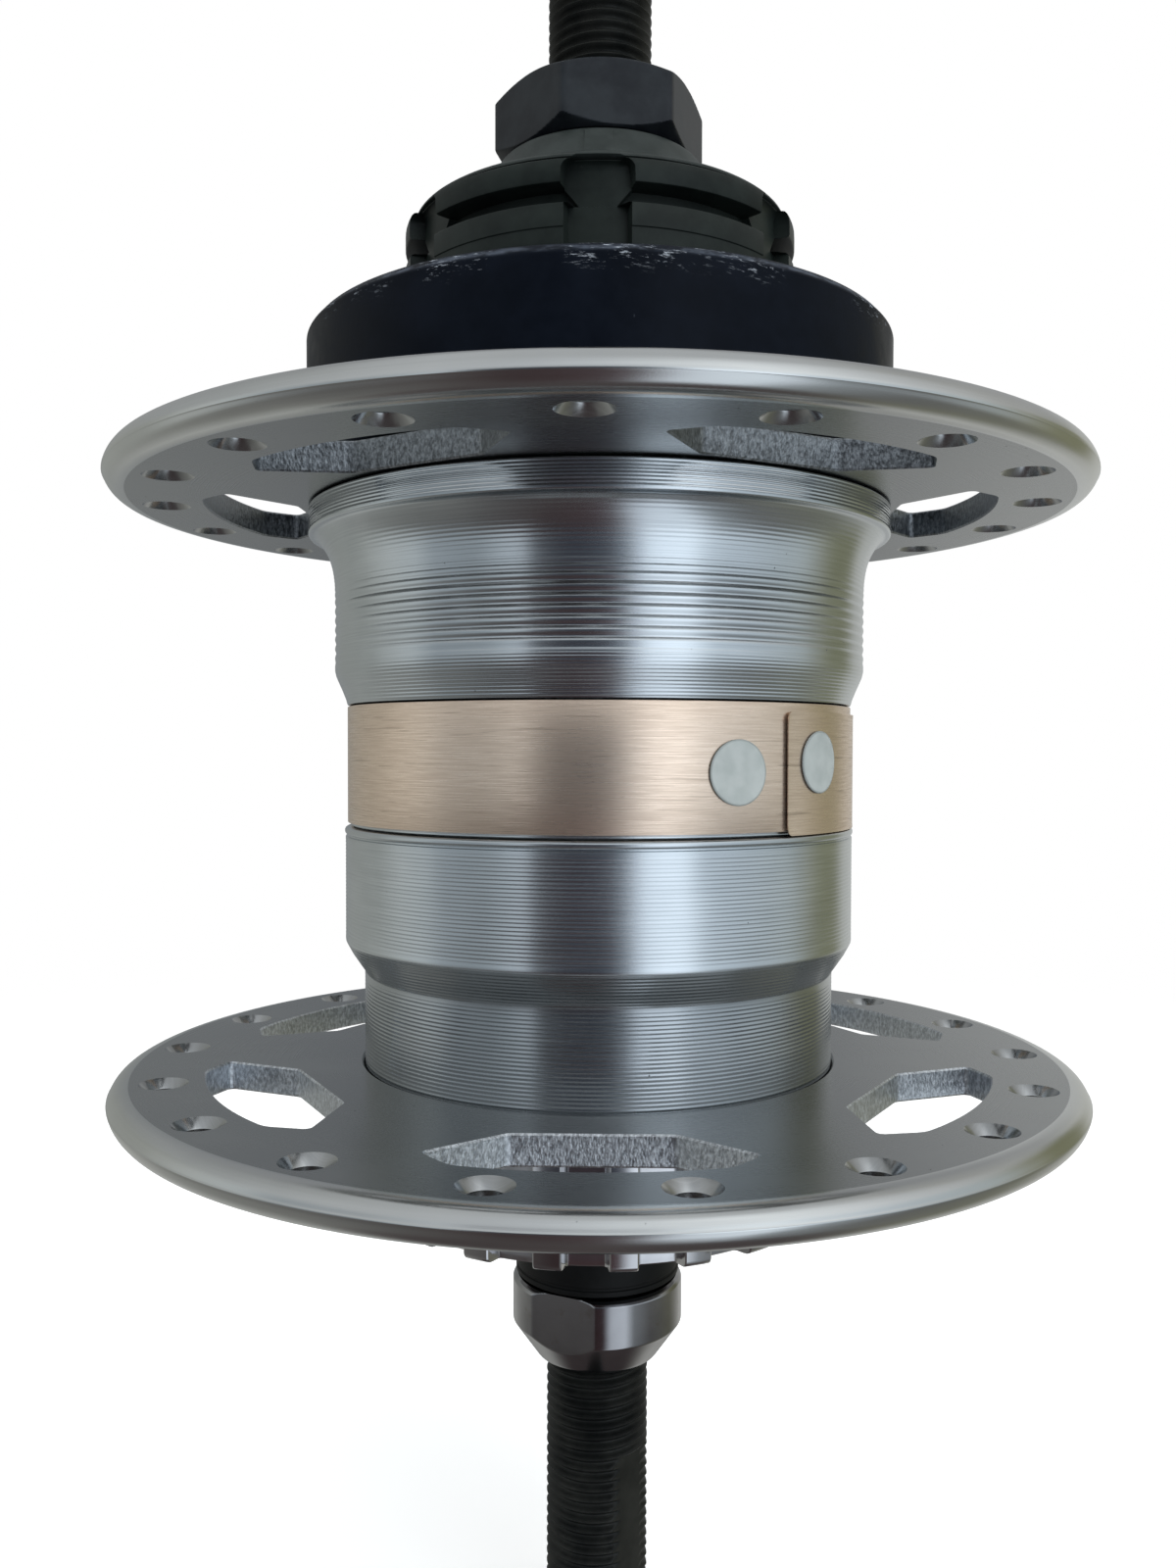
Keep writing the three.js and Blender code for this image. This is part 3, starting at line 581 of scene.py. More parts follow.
# ------------------------------------------------------------------ hub shell barrel
def shell_barrel():
    _, z0, z1 = span("hub_shell")
    foot, waist, land, seat, upper, collar = 22.3, 24.07, 23.9, 23.5, 25.0, 27.4
    rows = []

    def grooves(za, zb, r, pitch, depth, per=5):
        n = max(1, int(round(abs(zb - za) / pitch)))
        out = []
        for i in range(n * per + 1):
            u = i / per
            z = za + (zb - za) * i / (n * per)
            fade = min(1.0, i / per, (n * per - i) / per)
            out.append((r - depth * fade * (0.5 - 0.5 * math.cos(TAU * u)) ** 0.8, z))
        return out

    # outside, from the lower end up
    rows += [(20.3, z0), (foot - 0.25, z0), (foot - 0.07, z0 + 0.06), (foot, z0 + 0.25)]
    rows += grooves(z0 + 0.5, -22.75, foot, 0.345, 0.031)
    rows += [(foot, -22.5), (foot + 0.03, -22.3), (foot + 0.12, -22.12)]
    rows += [(foot + 0.6, -21.42), (foot + 1.2, -20.52), (waist - 0.12, -19.68), (waist - 0.03, -19.5), (waist, -19.3)]
    rows += grooves(-19.1, -9.95, waist, 0.335, 0.029)
    rows += [(waist, -9.85), (waist - 0.02, -9.74), (waist - 0.14, -9.66), (waist - 0.14, -9.54), (waist + 0.01, -9.44), (waist + 0.06, -9.3),
             (waist + 0.06, -9.12), (waist + 0.0, -8.98), (waist - 0.14, -8.88), (seat + 0.1, -8.78), (seat, -8.7)]
    rows += [(seat, -3.0), (seat, 2.28), (seat + 0.06, 2.36), (land - 0.06, 2.44), (land, 2.56)]
    rows += [(land + 0.10, 2.95), (land + 0.42, 3.75), (land + 0.80, 4.62), (land + 0.98, 5.05), (upper - 0.06, 5.3), (upper, 5.6)]
    # ridges: widest low down, fading into fine rings in the flare
    z, phase, dz = 5.95, 0.0, 0.075
    flare = smooth_line([(upper, 12.9), (25.05, 13.9), (25.26, 15.2), (25.66, 16.35), (26.22, 17.3), (26.75, 17.95)], 10)
    while z < 17.85:
        pitch = np.interp(z, [6.2, 11.6, 12.6, 13.6, 18.0], [0.87, 0.87, 0.6, 0.36, 0.33])
        amp = np.interp(z, [5.9, 6.3, 7.2, 11.6, 12.6, 13.6, 15.5, 17.9], [0.0, 0.05, 0.12, 0.12, 0.055, 0.028, 0.022, 0.012])
        r = upper if z < 12.9 else float(np.interp(z, flare[:, 1], flare[:, 0]))
        phase += dz / pitch
        rows.append((r - amp * (1 - abs(math.cos(math.pi * phase))) ** 0.75, z))
        z += dz
    rows += [(26.78, 17.94), (26.98, 17.98), (27.22, 18.01), (collar - 0.06, 18.04), (collar, 18.12), (collar, 18.3)]
    rows += grooves(18.35, 20.3, collar, 0.3, 0.022)
    rows += [(collar, 20.38), (collar - 0.04, 20.46), (collar - 0.15, 20.5)]
    # neck inside the flange, then the bore
    rows += [(24.6, 20.5), (24.5, 20.6), (24.5, z1 - 0.25), (24.3, z1), (22.85, z1), (22.65, z1 - 0.2)]
    rows += [(22.65, 12.0), (22.65, 3.6), (21.65, 2.2), (21.65, -10.0), (21.65, -21.6), (20.0, -23.0), (20.0, z0 + 0.2)]

    def pick(r, z, th, n):
        out = np.zeros(len(r), int)
        inside = (n[:, 0] * np.cos(np.radians(th)) + n[:, 1] * np.sin(np.radians(th))) < -0.2
        grooved = (z < -9.9) | ((z > 5.9) & (z < 18.3))
        out[grooved] = 1
        out[(z > -9.9) & (z < -8.6)] = 2
        out[inside] = 2
        # painted shade: index 3 puts the darker chamfer copy of the turned aluminium on the downward chamfer
        out[(z > -22.3) & (z < -19.55) & ~inside] = 3
        # painted shade: index 4 puts the darker foot copy of the grooved aluminium on the barrel below the chamfer
        out[(z <= -22.3) & ~inside] = 4
        return out

    ob = lathe("shell_barrel", rows, [M["alu_turned"], M["alu_grooved"], M["alu_smooth"], M["alu_chamfer_painted_shade"], M["alu_foot_painted_shade"]], 176, True, pick, 40.0)
    return place(ob, "shell", "anodised_aluminium", "hub_shell")


# ------------------------------------------------------------------ spoke flanges
def cutout_outline():
    def pol(r, a):
        return [r * math.cos(math.radians(a)), r * math.sin(math.radians(a))]
    pts = [[27.7, -6.4, 1.1], pol(34.7, -20.9) + [0.5], pol(36.6, -15.8) + [2.4]]
    pts += [pol(36.6, a) + [0.0] for a in np.linspace(-12.5, 12.5, 15)]
    pts += [pol(36.6, 15.8) + [2.4], pol(34.7, 20.9) + [0.5], [27.7, 6.4, 1.1]]
    return rounded(pts, 0.0, 7, True)


def offset_outline(P, d):
    n = len(P)
    out = []
    for i in range(n):
        e0, e1 = P[i] - P[i - 1], P[(i + 1) % n] - P[i]
        e0, e1 = e0 / (np.linalg.norm(e0) + 1e-12), e1 / (np.linalg.norm(e1) + 1e-12)
        m = np.array([e0[1] + e1[1], -(e0[0] + e1[0])])
        m /= np.linalg.norm(m) + 1e-12
        out.append(P[i] + m * d)
    return np.array(out)


def flange(name, node, hole0, cut0):
    rmax, z0, z1 = span(node)
    zm = (z0 + z1) / 2
    lo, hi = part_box(node)
    bore = {"flange_right": 24.7, "flange_left": 22.4}[node]
    t = 1.3
    top = (z1 - z0) / 2
    # rim rounded over flush on the barrel side, rolled proud of the plate on the far side
    up = 1.0 if zm > 0 else -1.0
    flush = smooth_line([(42.9, t), (43.4, t - 0.01), (43.95, t - 0.13), (44.4, t - 0.4), (44.72, t - 0.8), (44.93, t - 1.25), (rmax, 0.0)], 4)
    proud = smooth_line([(42.0, t), (42.35, t + 0.04), (42.7, t + 0.22), (43.15, top - 0.04), (43.7, top + 0.03), (44.25, top - 0.22), (44.68, top - 0.72), (44.93, top - 1.3), (rmax, 0.05)], 4)
    half = [(bore + 0.2, t), (27.0, t), (32.0, t), (37.0, t), (41.0, t)]
    prof = [(r, zm + up * z) for r, z in half + [tuple(q) for q in proud]]
    prof += [(r, zm - up * z) for r, z in (half + [tuple(q) for q in flush])[::-1][1:]]
    prof += [(bore, zm - up * (t - 0.2)), (bore, zm + up * (t - 0.2))]
    n = 216
    ob = lathe(name, prof, [M["alu_satin"], M["alu_bead"]], n, True, lambda r, z, th, nn: np.where((z - zm) * up > 0, r > 42.3, r > 43.2).astype(int), 30.0)
    cut = Mesh()
    for k in range(18):
        a = math.radians(hole0 + 20 * k)
        cx, cy = 40.2 * math.cos(a), 40.2 * math.sin(a)
        th = angles(28)
        rows = []
        for r, z in ((2.62, 1.75), (2.16, t + 0.02), (1.46, 0.62), (1.4, 0.5), (1.4, -0.5), (1.46, -0.62), (2.16, -t - 0.02), (2.62, -1.75)):
            rows.append(np.stack([cx + r * np.cos(th), cy + r * np.sin(th), np.full(28, zm + z)], -1))
        tip = lambda z: np.repeat(np.array([[cx, cy, zm + z]]), 28, 0)
        cut.grid(np.stack([tip(1.75)] + rows + [tip(-1.75)]))
    holes = cut.build("cut_holes", [M["alu_cut"]], None, 40)
    boolean_cut(ob, holes)
    base = cutout_outline()
    cut = Mesh()
    for k in range(6):
        a = math.radians(cut0 + 60 * k)
        rot = np.array([[math.cos(a), -math.sin(a)], [math.sin(a), math.cos(a)]])
        rows = []
        for d, z in ((0.42, 1.7), (0.14, t + 0.02), (0.0, t - 0.16), (0.0, -t + 0.16), (0.14, -t - 0.02), (0.42, -1.7)):
            o = offset_outline(base, d) @ rot.T
            rows.append(np.column_stack([o, np.full(len(o), zm + z)]))
        c = (np.array([32.5, 0.0]) @ rot.T)
        tip = lambda z: np.repeat(np.array([[c[0], c[1], zm + z]]), len(base), 0)
        cut.grid(np.stack([tip(1.7)] + rows + [tip(-1.7)]))
    # painted shade: the upper flange's cutout walls take the darker copy of the granular wall
    openings = cut.build("cut_openings", [M["alu_wall_upper_painted_shade" if zm > 0 else "alu_wall"]], None, 40)
    boolean_cut(ob, openings)
    me = ob.data
    shade(me, 24.0)
    return place(ob, "shell", "anodised_aluminium", node)


# ------------------------------------------------------------------ foil band, its lapped end, stickers
def label_band():
    _, z0, z1 = span("label_band")
    z1 += 0.16
    prof = rounded([(23.64, z0), (23.86, z0), (23.86, z1), (23.64, z1)], 0.05, 2)
    rows = [tuple(p) for p in prof]
    ob = lathe("foil_band", rows, [M["foil"]], 176, True, None, 50.0)
    return place(ob, "shell", "copper_foil", "label_band")


def curved_sheet(th0, th1, z0, z1, inner, outer, corner, lift, nu=64, nv=26):
    """A closed thin sheet on a cylinder with two rounded corners at its first end, which stands a little off."""
    us = np.concatenate([np.linspace(0, 0.04, 14, endpoint=False), np.linspace(0.04, 1, nu)])
    arc = math.radians(th1 - th0) * outer
    vs = np.linspace(-1, 1, nv)
    U, Vv = np.meshgrid(us, vs, indexing="ij")
    s = U * arc
    h, mid = (z1 - z0) / 2, (z0 + z1) / 2
    inset = np.where(s < corner, corner - np.sqrt(np.maximum(0.0, corner ** 2 - (corner - s) ** 2)), 0.0)
    Z = mid + Vv * (h - inset)
    T = math.radians(th0) + s / outer
    up = lift * np.exp(-s / 0.9) + 0.02 * np.exp(-((1 - np.abs(Vv)) * h) / 0.3)
    top = polar(outer + up, T, Z)
    low = polar(inner + up, T, Z)
    m = Mesh()
    m.patch(top)
    m.patch(low[:, ::-1])
    # rim all round
    ring_t = np.concatenate([top[:, 0], top[-1, 1:], top[::-1, -1][1:], top[0, ::-1][1:-1]])
    ring_l = np.concatenate([low[:, 0], low[-1, 1:], low[::-1, -1][1:], low[0, ::-1][1:-1]])
    m.grid(np.stack([ring_t, ring_l]))
    return m


def label_lap():
    _, z0, z1 = span("label_lap")
    ob = curved_sheet(-50, 10, z0 - 0.5, z1 + 0.05, 23.99, 24.1, 0.6, 0.08).build("foil_lap", [M["foil"]], None, 50.0)
    return place(ob, "shell", "copper_foil", "label_lap")


def sticker(name, node, th0, radius, size):
    _, z0, z1 = span(node)
    zc = (z0 + z1) / 2
    m = Mesh()
    psi = angles(72)
    rows = []
    inner, thick = radius, 0.13
    for rho, h in [(0.0, thick + 0.01)] + [(size * k / 9, thick + 0.01 * (1 - (k / 9) ** 2)) for k in range(1, 9)] + [(size - 0.10, thick), (size - 0.02, thick - 0.02), (size, thick - 0.06), (size, 0.0), (size * 0.5, 0.0), (0.0, 0.0)]:
        T = math.radians(th0) + rho * np.cos(psi) / radius
        Z = zc + rho * np.sin(psi)
        rows.append(polar(inner + h + np.zeros_like(T), T, Z))
    m.grid(np.stack(rows))
    ob = m.build(name, [paper(name + "_paper", th0, zc, size, radius)], None, 50.0)
    return place(ob, "shell", "paper", node)


# ------------------------------------------------------------------ black dust ring
def dust_ring():
    rmax, z0, z1 = span("right_dust_ring")
    prof = [(25.2, z0 + 0.0, 0.1), (rmax - 0.02, z0, 0.35), (rmax, z1 - 0.75, 0.5), (26.8, z1, 0.25), (26.0, z1, 0.05), (25.95, z1 - 0.12, 0.05), (22.2, z1 - 0.12, 0.05),
            (22.15, z1, 0.05), (19.0, z1, 0.2), (19.0, z1 - 3.0, 0.1), (25.2, z1 - 3.0, 0.3)]
    ob = lathe("dust_ring", rounded(prof, 0.1, 5), [M["dust_ring"]], 200, True, None, 40.0)
    return place(ob, "shell", "black_plastic", "right_dust_ring")


# ------------------------------------------------------------------ driver and its cap
NOTCHES = [-91 + 60 * k for k in range(6)]


def notched(rows, base=17.6):
    """rows of (z, outside radius, radius in the notch, half width of the notch in mm): one notch each 60 degrees."""
    P = []
    for z, r_out, r_in, half in rows:
        e = math.degrees(half / base)
        d = 0.45
        off = np.concatenate([np.linspace(-30, -(e + d), 7), np.linspace(-e, e, 6), np.linspace(e + d, 30, 7)[:-1]])
        inside = (np.abs(off) <= e + 1e-9)
        T = np.concatenate([np.radians(a + off) for a in NOTCHES])
        R = np.concatenate([np.where(inside, r_in, r_out)] * len(NOTCHES))
        P.append(polar(R, T, np.full_like(T, z)))
    return np.stack(P)


def driver():
    rmax, z0, z1 = span("driver")
    w = 2.58
    inner = [(7.4, 36.7), (7.4, z0 + 0.2), (7.6, z0), (9.3, z0), (9.5, z0 + 0.2), (9.5, 10.2), (13.6, 10.2), (13.8, 10.4), (13.8, 12.6), (11.0, 14.2), (11.0, 20.5), (14.9, 24.6), (14.9, 28.4),
             (18.4, 31.9), (18.4, 36.9), (rmax - 0.15, 36.9), (rmax, 37.05), (rmax, 38.25), (rmax - 0.15, 38.4)]
    rows = [(z, r, r, w) for r, z in inner]
    rows += [(38.4, 18.5, 17.1, w), (38.5, 18.34, 17.0, w), (41.25, 18.34, 17.0, w), (41.33, 18.42, 17.0, w), (43.12, 18.42, 17.0, w), (43.24, 18.36, 17.0, w), (43.3, 18.2, 17.0, w - 0.25),
             (43.32, 16.25, 16.95, 1.62), (43.9, 16.2, 16.97, 2.1), (44.84, 16.25, 17.0, 2.95),
             (44.86, 18.2, 17.0, 2.85), (44.94, 18.36, 17.0, 2.85), (45.1, 18.42, 17.0, 2.85), (46.2, 18.42, 17.0, 2.8), (46.55, 18.40, 17.1, 2.6), (46.78, 18.33, 17.3, 2.3), (z1 - 0.03, 18.2, 17.5, 2.0), (z1, 18.0, 17.5, 1.9)]
    rows += [(z1, 13.3, 13.3, 1.9), (z1 - 0.2, 13.2, 13.2, 1.9), (39.4, 13.2, 13.2, 1.9), (36.7, 11.6, 11.6, 1.9)]
    ob = Mesh().grid(notched(rows), closed_rows=True).build("sprocket_driver", [M["driver_black"]], None, 30.0)
    cut = Mesh()
    q = np.array([[4.0, -2.35], [11.0, -2.35], [11.0, 2.35], [4.0, 2.35]])
    for k in range(3):
        a = math.radians(120 * k)
        o = q @ np.array([[math.cos(a), math.sin(a)], [-math.sin(a), math.cos(a)]])
        mid = np.repeat(o.mean(0)[None], 4, 0)
        cut.grid(np.stack([np.column_stack([mid, [-6.0] * 4]), np.column_stack([o, [-6.0] * 4]), np.column_stack([o, [7.0] * 4]), np.column_stack([mid, [7.0] * 4])]))
    boolean_cut(ob, cut.build("cut_arms", [M["driver_black"]], None, 30))
    shade(ob.data, 30.0)
    return place(ob, "driver", "black_steel", "driver")


def dust_cap():
    rmax, z0, z1 = span("driver_dust_cap")
    outer = smooth_line([(rmax - 0.02, z0 + 0.1), (rmax - 0.15, z0 + 0.38), (16.6, z0 + 0.85), (14.8, z0 + 1.35), (13.2, z0 + 1.8), (12.3, z0 + 2.25), (11.5, z0 + 3.0), (10.85, z0 + 3.95), (10.3, z0 + 4.9), (9.85, z0 + 5.7), (9.62, z1 - 0.1)], 4)
    rows = [(r, z) for r, z in outer] + [(9.5, z1), (9.0, z1), (8.8, z1 - 0.12), (8.8, z1 - 0.7), (10.8, z0 + 2.4), (10.8, z0 + 1.8), (13.6, z0 + 0.8), (13.6, z0 + 0.1), (13.75, z0), (rmax - 0.2, z0)]
    P = []
    top = len(outer)
    for i, (r, z) in enumerate(rows):
        w = np.interp(z, [z0, z0 + 0.35, z0 + 1.3, z1], [1.9, 1.7, 1.35, 1.2]) if i < top else 1.0
        up = 0.13 * min(1.0, (top - 1 - i) / 3.0, i / 1.0) if i < top else 0.0
        e = math.degrees(w / r)
        cols = []
        radii = []
        for a in (-91, 29, 149):
            off = np.concatenate([np.linspace(-60, -(e + 0.9), 18), np.linspace(-e, e, 5), np.linspace(e + 0.9, 60, 18)[:-1]])
            cols.append(np.radians(a + off))
            radii.append(np.where(np.abs(off) <= e + 1e-9, r + up, r))
        T = np.concatenate(cols)
        R = np.concatenate(radii)
        P.append(polar(R, T, np.full_like(T, z)))
    ob = Mesh().grid(np.stack(P), closed_rows=True).build("domed_dust_cap", [M["cap_black"]], None, 34.0)
    return place(ob, "driver", "black_plastic", "driver_dust_cap")


# ------------------------------------------------------------------ lock nut, washer, seal
def lock_nut():
    _, z0, z1 = span("right_lock_nut")
    n = 240
    T = angles(n, -80.5)
    hexr = hexagon(T, 17.5, -80.5)
    zs = np.concatenate([np.linspace(z0, z0 + 1.0, 12), np.linspace(z0 + 1.5, z1 - 1.5, 5), np.linspace(z1 - 1.0, z1, 12)])
    P = []
    for z in zs:
        env = min(np.interp(z, [z0, z0 + 1.0], [8.55, 10.25]), np.interp(z, [z1 - 1.0, z1], [10.25, 8.55]))
        k = 26.0
        r = -np.log(np.exp(-k * hexr) + np.exp(-k * env) + 1e-300) / k
        P.append(polar(r, T, np.full(n, z)))
    for r, z in ((6.2, z1), (5.75, z1), (5.22, z1 - 0.5), (5.22, z0 + 0.5), (5.75, z0), (6.2, z0)):
        P.append(polar(np.full(n, r), T, np.full(n, z)))
    ob = Mesh().grid(np.stack(P), closed_rows=True).build("hex_lock_nut", [M["nut_black"]], None, 27.0)
    return place(ob, "axle", "black_steel", "right_lock_nut")


def small_turned():
    r, z0, z1 = span("right_lock_washer")
    ob = lathe("lock_washer", rounded([(5.2, z0), (r, z0), (r, z1), (5.2, z1)], 0.22, 4), [M["nut_black"]], 120)
    place(ob, "axle", "black_steel", "right_lock_washer")
    r, z0, z1 = span("right_dust_seal")
    ob = lathe("right_seal", rounded([(8.8, z0), (r, z0), (r, z1 - 1.1, 0.4), (r - 1.0, z1), (8.8, z1)], 0.16, 4), [M["rubber"]], 120)
    place(ob, "axle", "rubber", "right_dust_seal")
    r, z0, z1 = span("left_cone_seal")
    prof = [(9.95, z1, 0.1), (r, z1, 0.2), (r, z1 - 1.3, 0.3), (8.4, z1 - 4.0, 0.5), (7.9, z1 - 5.2, 0.3), (7.9, z0 + 0.9, 0.08), (7.78, z0 + 0.8, 0.04), (7.78, z0 + 0.6, 0.04), (7.9, z0 + 0.5, 0.08), (7.9, z0, 0.15), (7.4, z0, 0.1), (7.4, z1 - 3.2, 0.1), (9.95, z1 - 2.0, 0.1)]
    ob = lathe("left_seal", rounded(prof, 0.12, 4), [M["rubber"]], 128)
    place(ob, "axle", "rubber", "left_cone_seal")
    r, z0, z1 = span("push_rod")
    prof = [(0.0, z0), (1.75, z0), (1.9, z0 + 0.15), (1.9, 30.0), (1.9, 60.0), (1.9, z1 - 1.2), (1.82, z1 - 0.95), (1.45, z1 - 0.35), (1.2, z1 - 0.12), (0.8, z1 - 0.02), (0.0, z1)]
    ob = lathe("selector_rod", prof, [M["bearing_steel"]], 48, False, None, 40.0)
    place(ob, "push_rod", "bearing_steel", "push_rod")


# ------------------------------------------------------------------ toothed boss of the left cup
def left_boss():
    rmax, z0, z1 = span("left_ball_cup")
    tip, root = rmax, 20.6
    off = np.array([-8.0, -6.0, -4.5, -3.95, -3.6, -3.38, -3.1, -2.8, -1.4, 0.0, 1.4, 2.8, 3.1, 3.38, 3.6, 3.95, 4.5, 6.0])
    lvl = np.array([0.0, 0.0, 0.0, 0.03, 0.14, 0.60, 0.93, 0.99, 1.0, 1.0, 1.0, 0.99, 0.93, 0.60, 0.14, 0.03, 0.0, 0.0])
    T = np.concatenate([np.radians(-84.8 + 360.0 * k / 22 + off) for k in range(22)])
    L = np.tile(lvl, 22)
    n = len(T)
    P = []

    def row(r_tip, r_root, z):
        P.append(polar(r_root + (r_tip - r_root) * L, T, np.full(n, z)))

    row(17.5, 17.5, z1)
    row(19.55, 19.55, z1)
    row(19.7, 19.7, z1 - 0.15)
    row(19.7, 19.7, -34.32)
    row(tip - 0.4, root - 0.1, -34.32)
    row(tip - 0.05, root, -34.5)
    row(tip, root, -34.8)
    row(tip, root, -38.0)
    row(tip, root, z0 + 0.6)
    row(tip - 0.05, root, z0 + 0.38)
    row(tip - 0.22, root - 0.02, z0 + 0.14)
    row(tip - 0.45, root - 0.12, z0 + 0.02)
    row(tip - 0.75, root - 0.35, z0)
    for r, z in ((19.2, z0), (16.2, z0), (15.9, z0 + 0.06), (14.75, z0 + 0.5), (14.45, z0 + 0.8), (14.3, z0 + 1.2), (14.3, -39.3), (13.2, -35.7), (7.7, -35.7), (7.7, -34.3), (17.4, -34.3), (17.4, z1)):
        row(r, r, z)
    return P, T, n, z1


def left_cup():
    P, T, n, z1 = left_boss()
    ob = Mesh().grid(np.stack(P), closed_rows=True).build("brake_boss_cup", [M["chrome"]], None, 30.0)
    return place(ob, "shell", "chrome", "left_ball_cup")


# ------------------------------------------------------------------ left cone with its two spanner flats
def left_cone():
    _, z0, z1 = span("left_cone")
    n = 360
    T = angles(n, -91.7)
    flats = 7.5 / np.maximum(np.abs(np.cos(T - math.radians(-115.5))), 0.3)
    flats = -np.log(np.exp(-45.0 * (np.minimum(flats, 12.0) - 8)) + np.exp(-45.0 * (8.2 - 8))) / 45.0 + 8
    P = []

    def ring(r, z):
        P.append(polar(np.full(n, float(r)), T, np.full(n, float(z))))

    k = 55.0
    zs = np.concatenate([np.linspace(z0 + 0.1, -58.4, 8), np.linspace(-58.3, -56.1, 26), np.linspace(-55.9, -53.8, 7), np.linspace(-53.2, -52.32, 18)])
    ring(5.75, z0)
    for z in zs:
        env = min(np.interp(z, [-60.0, -59.86, -56.6], [5.75, 5.95, 8.25]), 8.2, np.interp(z, [-52.85, -52.5, -52.3], [8.25, 8.0, 7.7]))
        r = -np.log(np.exp(-k * (flats - 8)) + np.exp(-k * (env - 8))) / k + 8
        P.append(polar(r, T, np.full(n, z)))
    for r, z in ((7.3, -52.3), (7.2, -52.3), (7.1, -52.2), (7.1, -46.2), (9.4, -45.1), (9.6, -44.9), (9.6, -42.7), (6.9, -40.0), (6.6, z1), (5.35, z1), (5.22, z1 - 0.15), (5.22, z0 + 0.4), (5.45, z0)):
        ring(r, z)
    # painted shade: the cone takes the darker copy of the chrome plate
    ob = Mesh().grid(np.stack(P), closed_rows=True).build("flatted_cone", [M["chrome_painted_shade"]], None, 26.0)
    return place(ob, "axle", "chrome", "left_cone")


# ------------------------------------------------------------------ threaded axle
def axle():
    _, z0, z1 = span("axle")
    R0, pitch, depth, k, n = 4.9, 1.0, 0.56, 8, 120
    T1 = angles(n)
    flat = 4.0 / np.maximum(np.abs(np.cos(T1 - math.radians(-38))), 1e-6)

    def env(Z, T):
        e = np.full_like(Z, R0)
        e = np.minimum(e, np.interp(Z, [z0, z0 + 0.85, z1 - 0.85, z1], [4.15, 5.0, 5.0, 4.15]))
        e = np.minimum(e, np.interp(np.abs(Z), [47.0, 50.0, 50.6, 400.0], [4.3, 4.3, 5.0, 5.0]))
        f = np.broadcast_to(flat, Z.shape)
        on = (Z < -69.1) | (Z > 72.0)
        return np.where(on, np.minimum(e, f), e)

    m = Mesh()
    for a, b in ((z0, -50.0), (50.0, z1)):
        zi = np.arange(a - pitch, b + 1e-9, pitch / k)
        zi = np.concatenate([zi, [b]]) if zi[-1] < b - 1e-6 else zi
        Z = np.clip(zi[:, None] + pitch * T1[None, :] / TAU, a, b)
        ph = np.mod((zi - a) / pitch, 1.0)
        d = np.abs(ph - 0.5) * 2
        v = np.clip((d - 0.14) / 0.68, 0, 1)
        prof = depth * v
        R = np.repeat((R0 - prof)[:, None], n, axis=1)
        R = np.minimum(R, env(Z, T1))
        m.grid(polar(R, np.broadcast_to(T1, Z.shape), Z), shift=k)

    def caps(points):
        rows = []
        for r, z, f in points:
            rr = np.minimum(r, flat) if f else np.full(n, float(r))
            rows.append(polar(rr, T1, np.full(n, float(z))))
        m.grid(np.stack(rows))

    caps([(4.3, -50.0, False), (4.3, -20.0, False), (4.3, 20.0, False), (4.3, 50.0, False)])
    caps([(4.15, z0, True), (3.6, z0, True), (1.2, z0, False), (0.9, z0 + 0.5, False), (0.0, z0 + 1.2, False)])
    caps([(4.15, z1, True), (2.75, z1, False), (2.3, z1 - 0.45, False), (2.3, 60.0, False), (2.3, 20.0, False), (2.3, -2.2, False), (0.0, -2.2, False)])
    ob = m.build("threaded_axle", [M["axle_black"]], None, 40.0, 5e-4)
    cutter = Mesh()
    x, y, za, zb = 8.0, 1.6, -0.4, 10.4
    q = np.array([[-x, -y], [x, -y], [x, y], [-x, y]])
    cutter.grid(np.stack([np.column_stack([q * 0, [za] * 4]), np.column_stack([q, [za] * 4]), np.column_stack([q, [zb] * 4]), np.column_stack([q * 0, [zb] * 4])]))
    box = cutter.build("cut_slot", [M["axle_black"]], None, 30)
    boolean_cut(ob, box)
    shade(ob.data, 40.0)
    return place(ob, "axle", "black_steel", "axle")


# ------------------------------------------------------------------ return spring, shortened by the clutch
def return_spring():
    turns, radius, wire, n, k = 4.25, 6.15, 0.42, 190, 14
    t = np.linspace(0, 1, n)
    a = t * turns * TAU
    centre = np.stack([radius * np.cos(a), radius * np.sin(a), -9.9 + 9.9 * t], -1)
    along = np.stack([-radius * turns * TAU * np.sin(a), radius * turns * TAU * np.cos(a), np.full(n, 9.9)], -1)
    along /= np.linalg.norm(along, axis=1, keepdims=True)
    out = np.stack([np.cos(a), np.sin(a), np.zeros(n)], -1)
    side = np.cross(along, out)
    phi = angles(k)

    def ring(i, w, ahead=0.0):
        c = centre[i] + along[i] * ahead
        return c + w * (np.cos(phi)[:, None] * out[i] + np.sin(phi)[:, None] * side[i])

    rows = [ring(0, 0.0, -0.1), ring(0, wire * 0.75, -0.1)] + [ring(i, wire) for i in range(n)] + [ring(n - 1, wire * 0.75, 0.1), ring(n - 1, 0.0, 0.1)]
    ob = Mesh().grid(np.stack(rows)).build("return_spring", [M["spring_steel"]], None, 40.0)
    place(ob, "axle", "spring_steel", "clutch_spring")
    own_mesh(ob)
    return ob


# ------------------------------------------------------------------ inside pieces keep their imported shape
INSIDE = {
    "gear_steel": ["sun_gear", "ring_gear", "planet_gear_", "clutch", "left_ratchet_ring", "right_ball_cup"],
    "dark_steel": ["planet_cage", "cage_pawl_carrier", "ring_pawl_1", "ring_pawl_2", "ring_pawl_3", "cage_pawl_1", "cage_pawl_2", "cage_pawl_3", "axle_key"],
    "bearing_steel": ["_pin_", "_ball_retainer", "right_cone"],
    "spring_steel": ["clutch_spring"],
    "rubber": ["driver_oil_seal"],
}


def inside_material(name):
    if name == "right_cone" or "_pin_" in name or name.endswith("_ball_retainer"):
        return "bearing_steel"
    for mat, keys in INSIDE.items():
        if any(name == k or (k.endswith("_") and name.startswith(k)) for k in keys):
            return mat
    return "gear_steel"


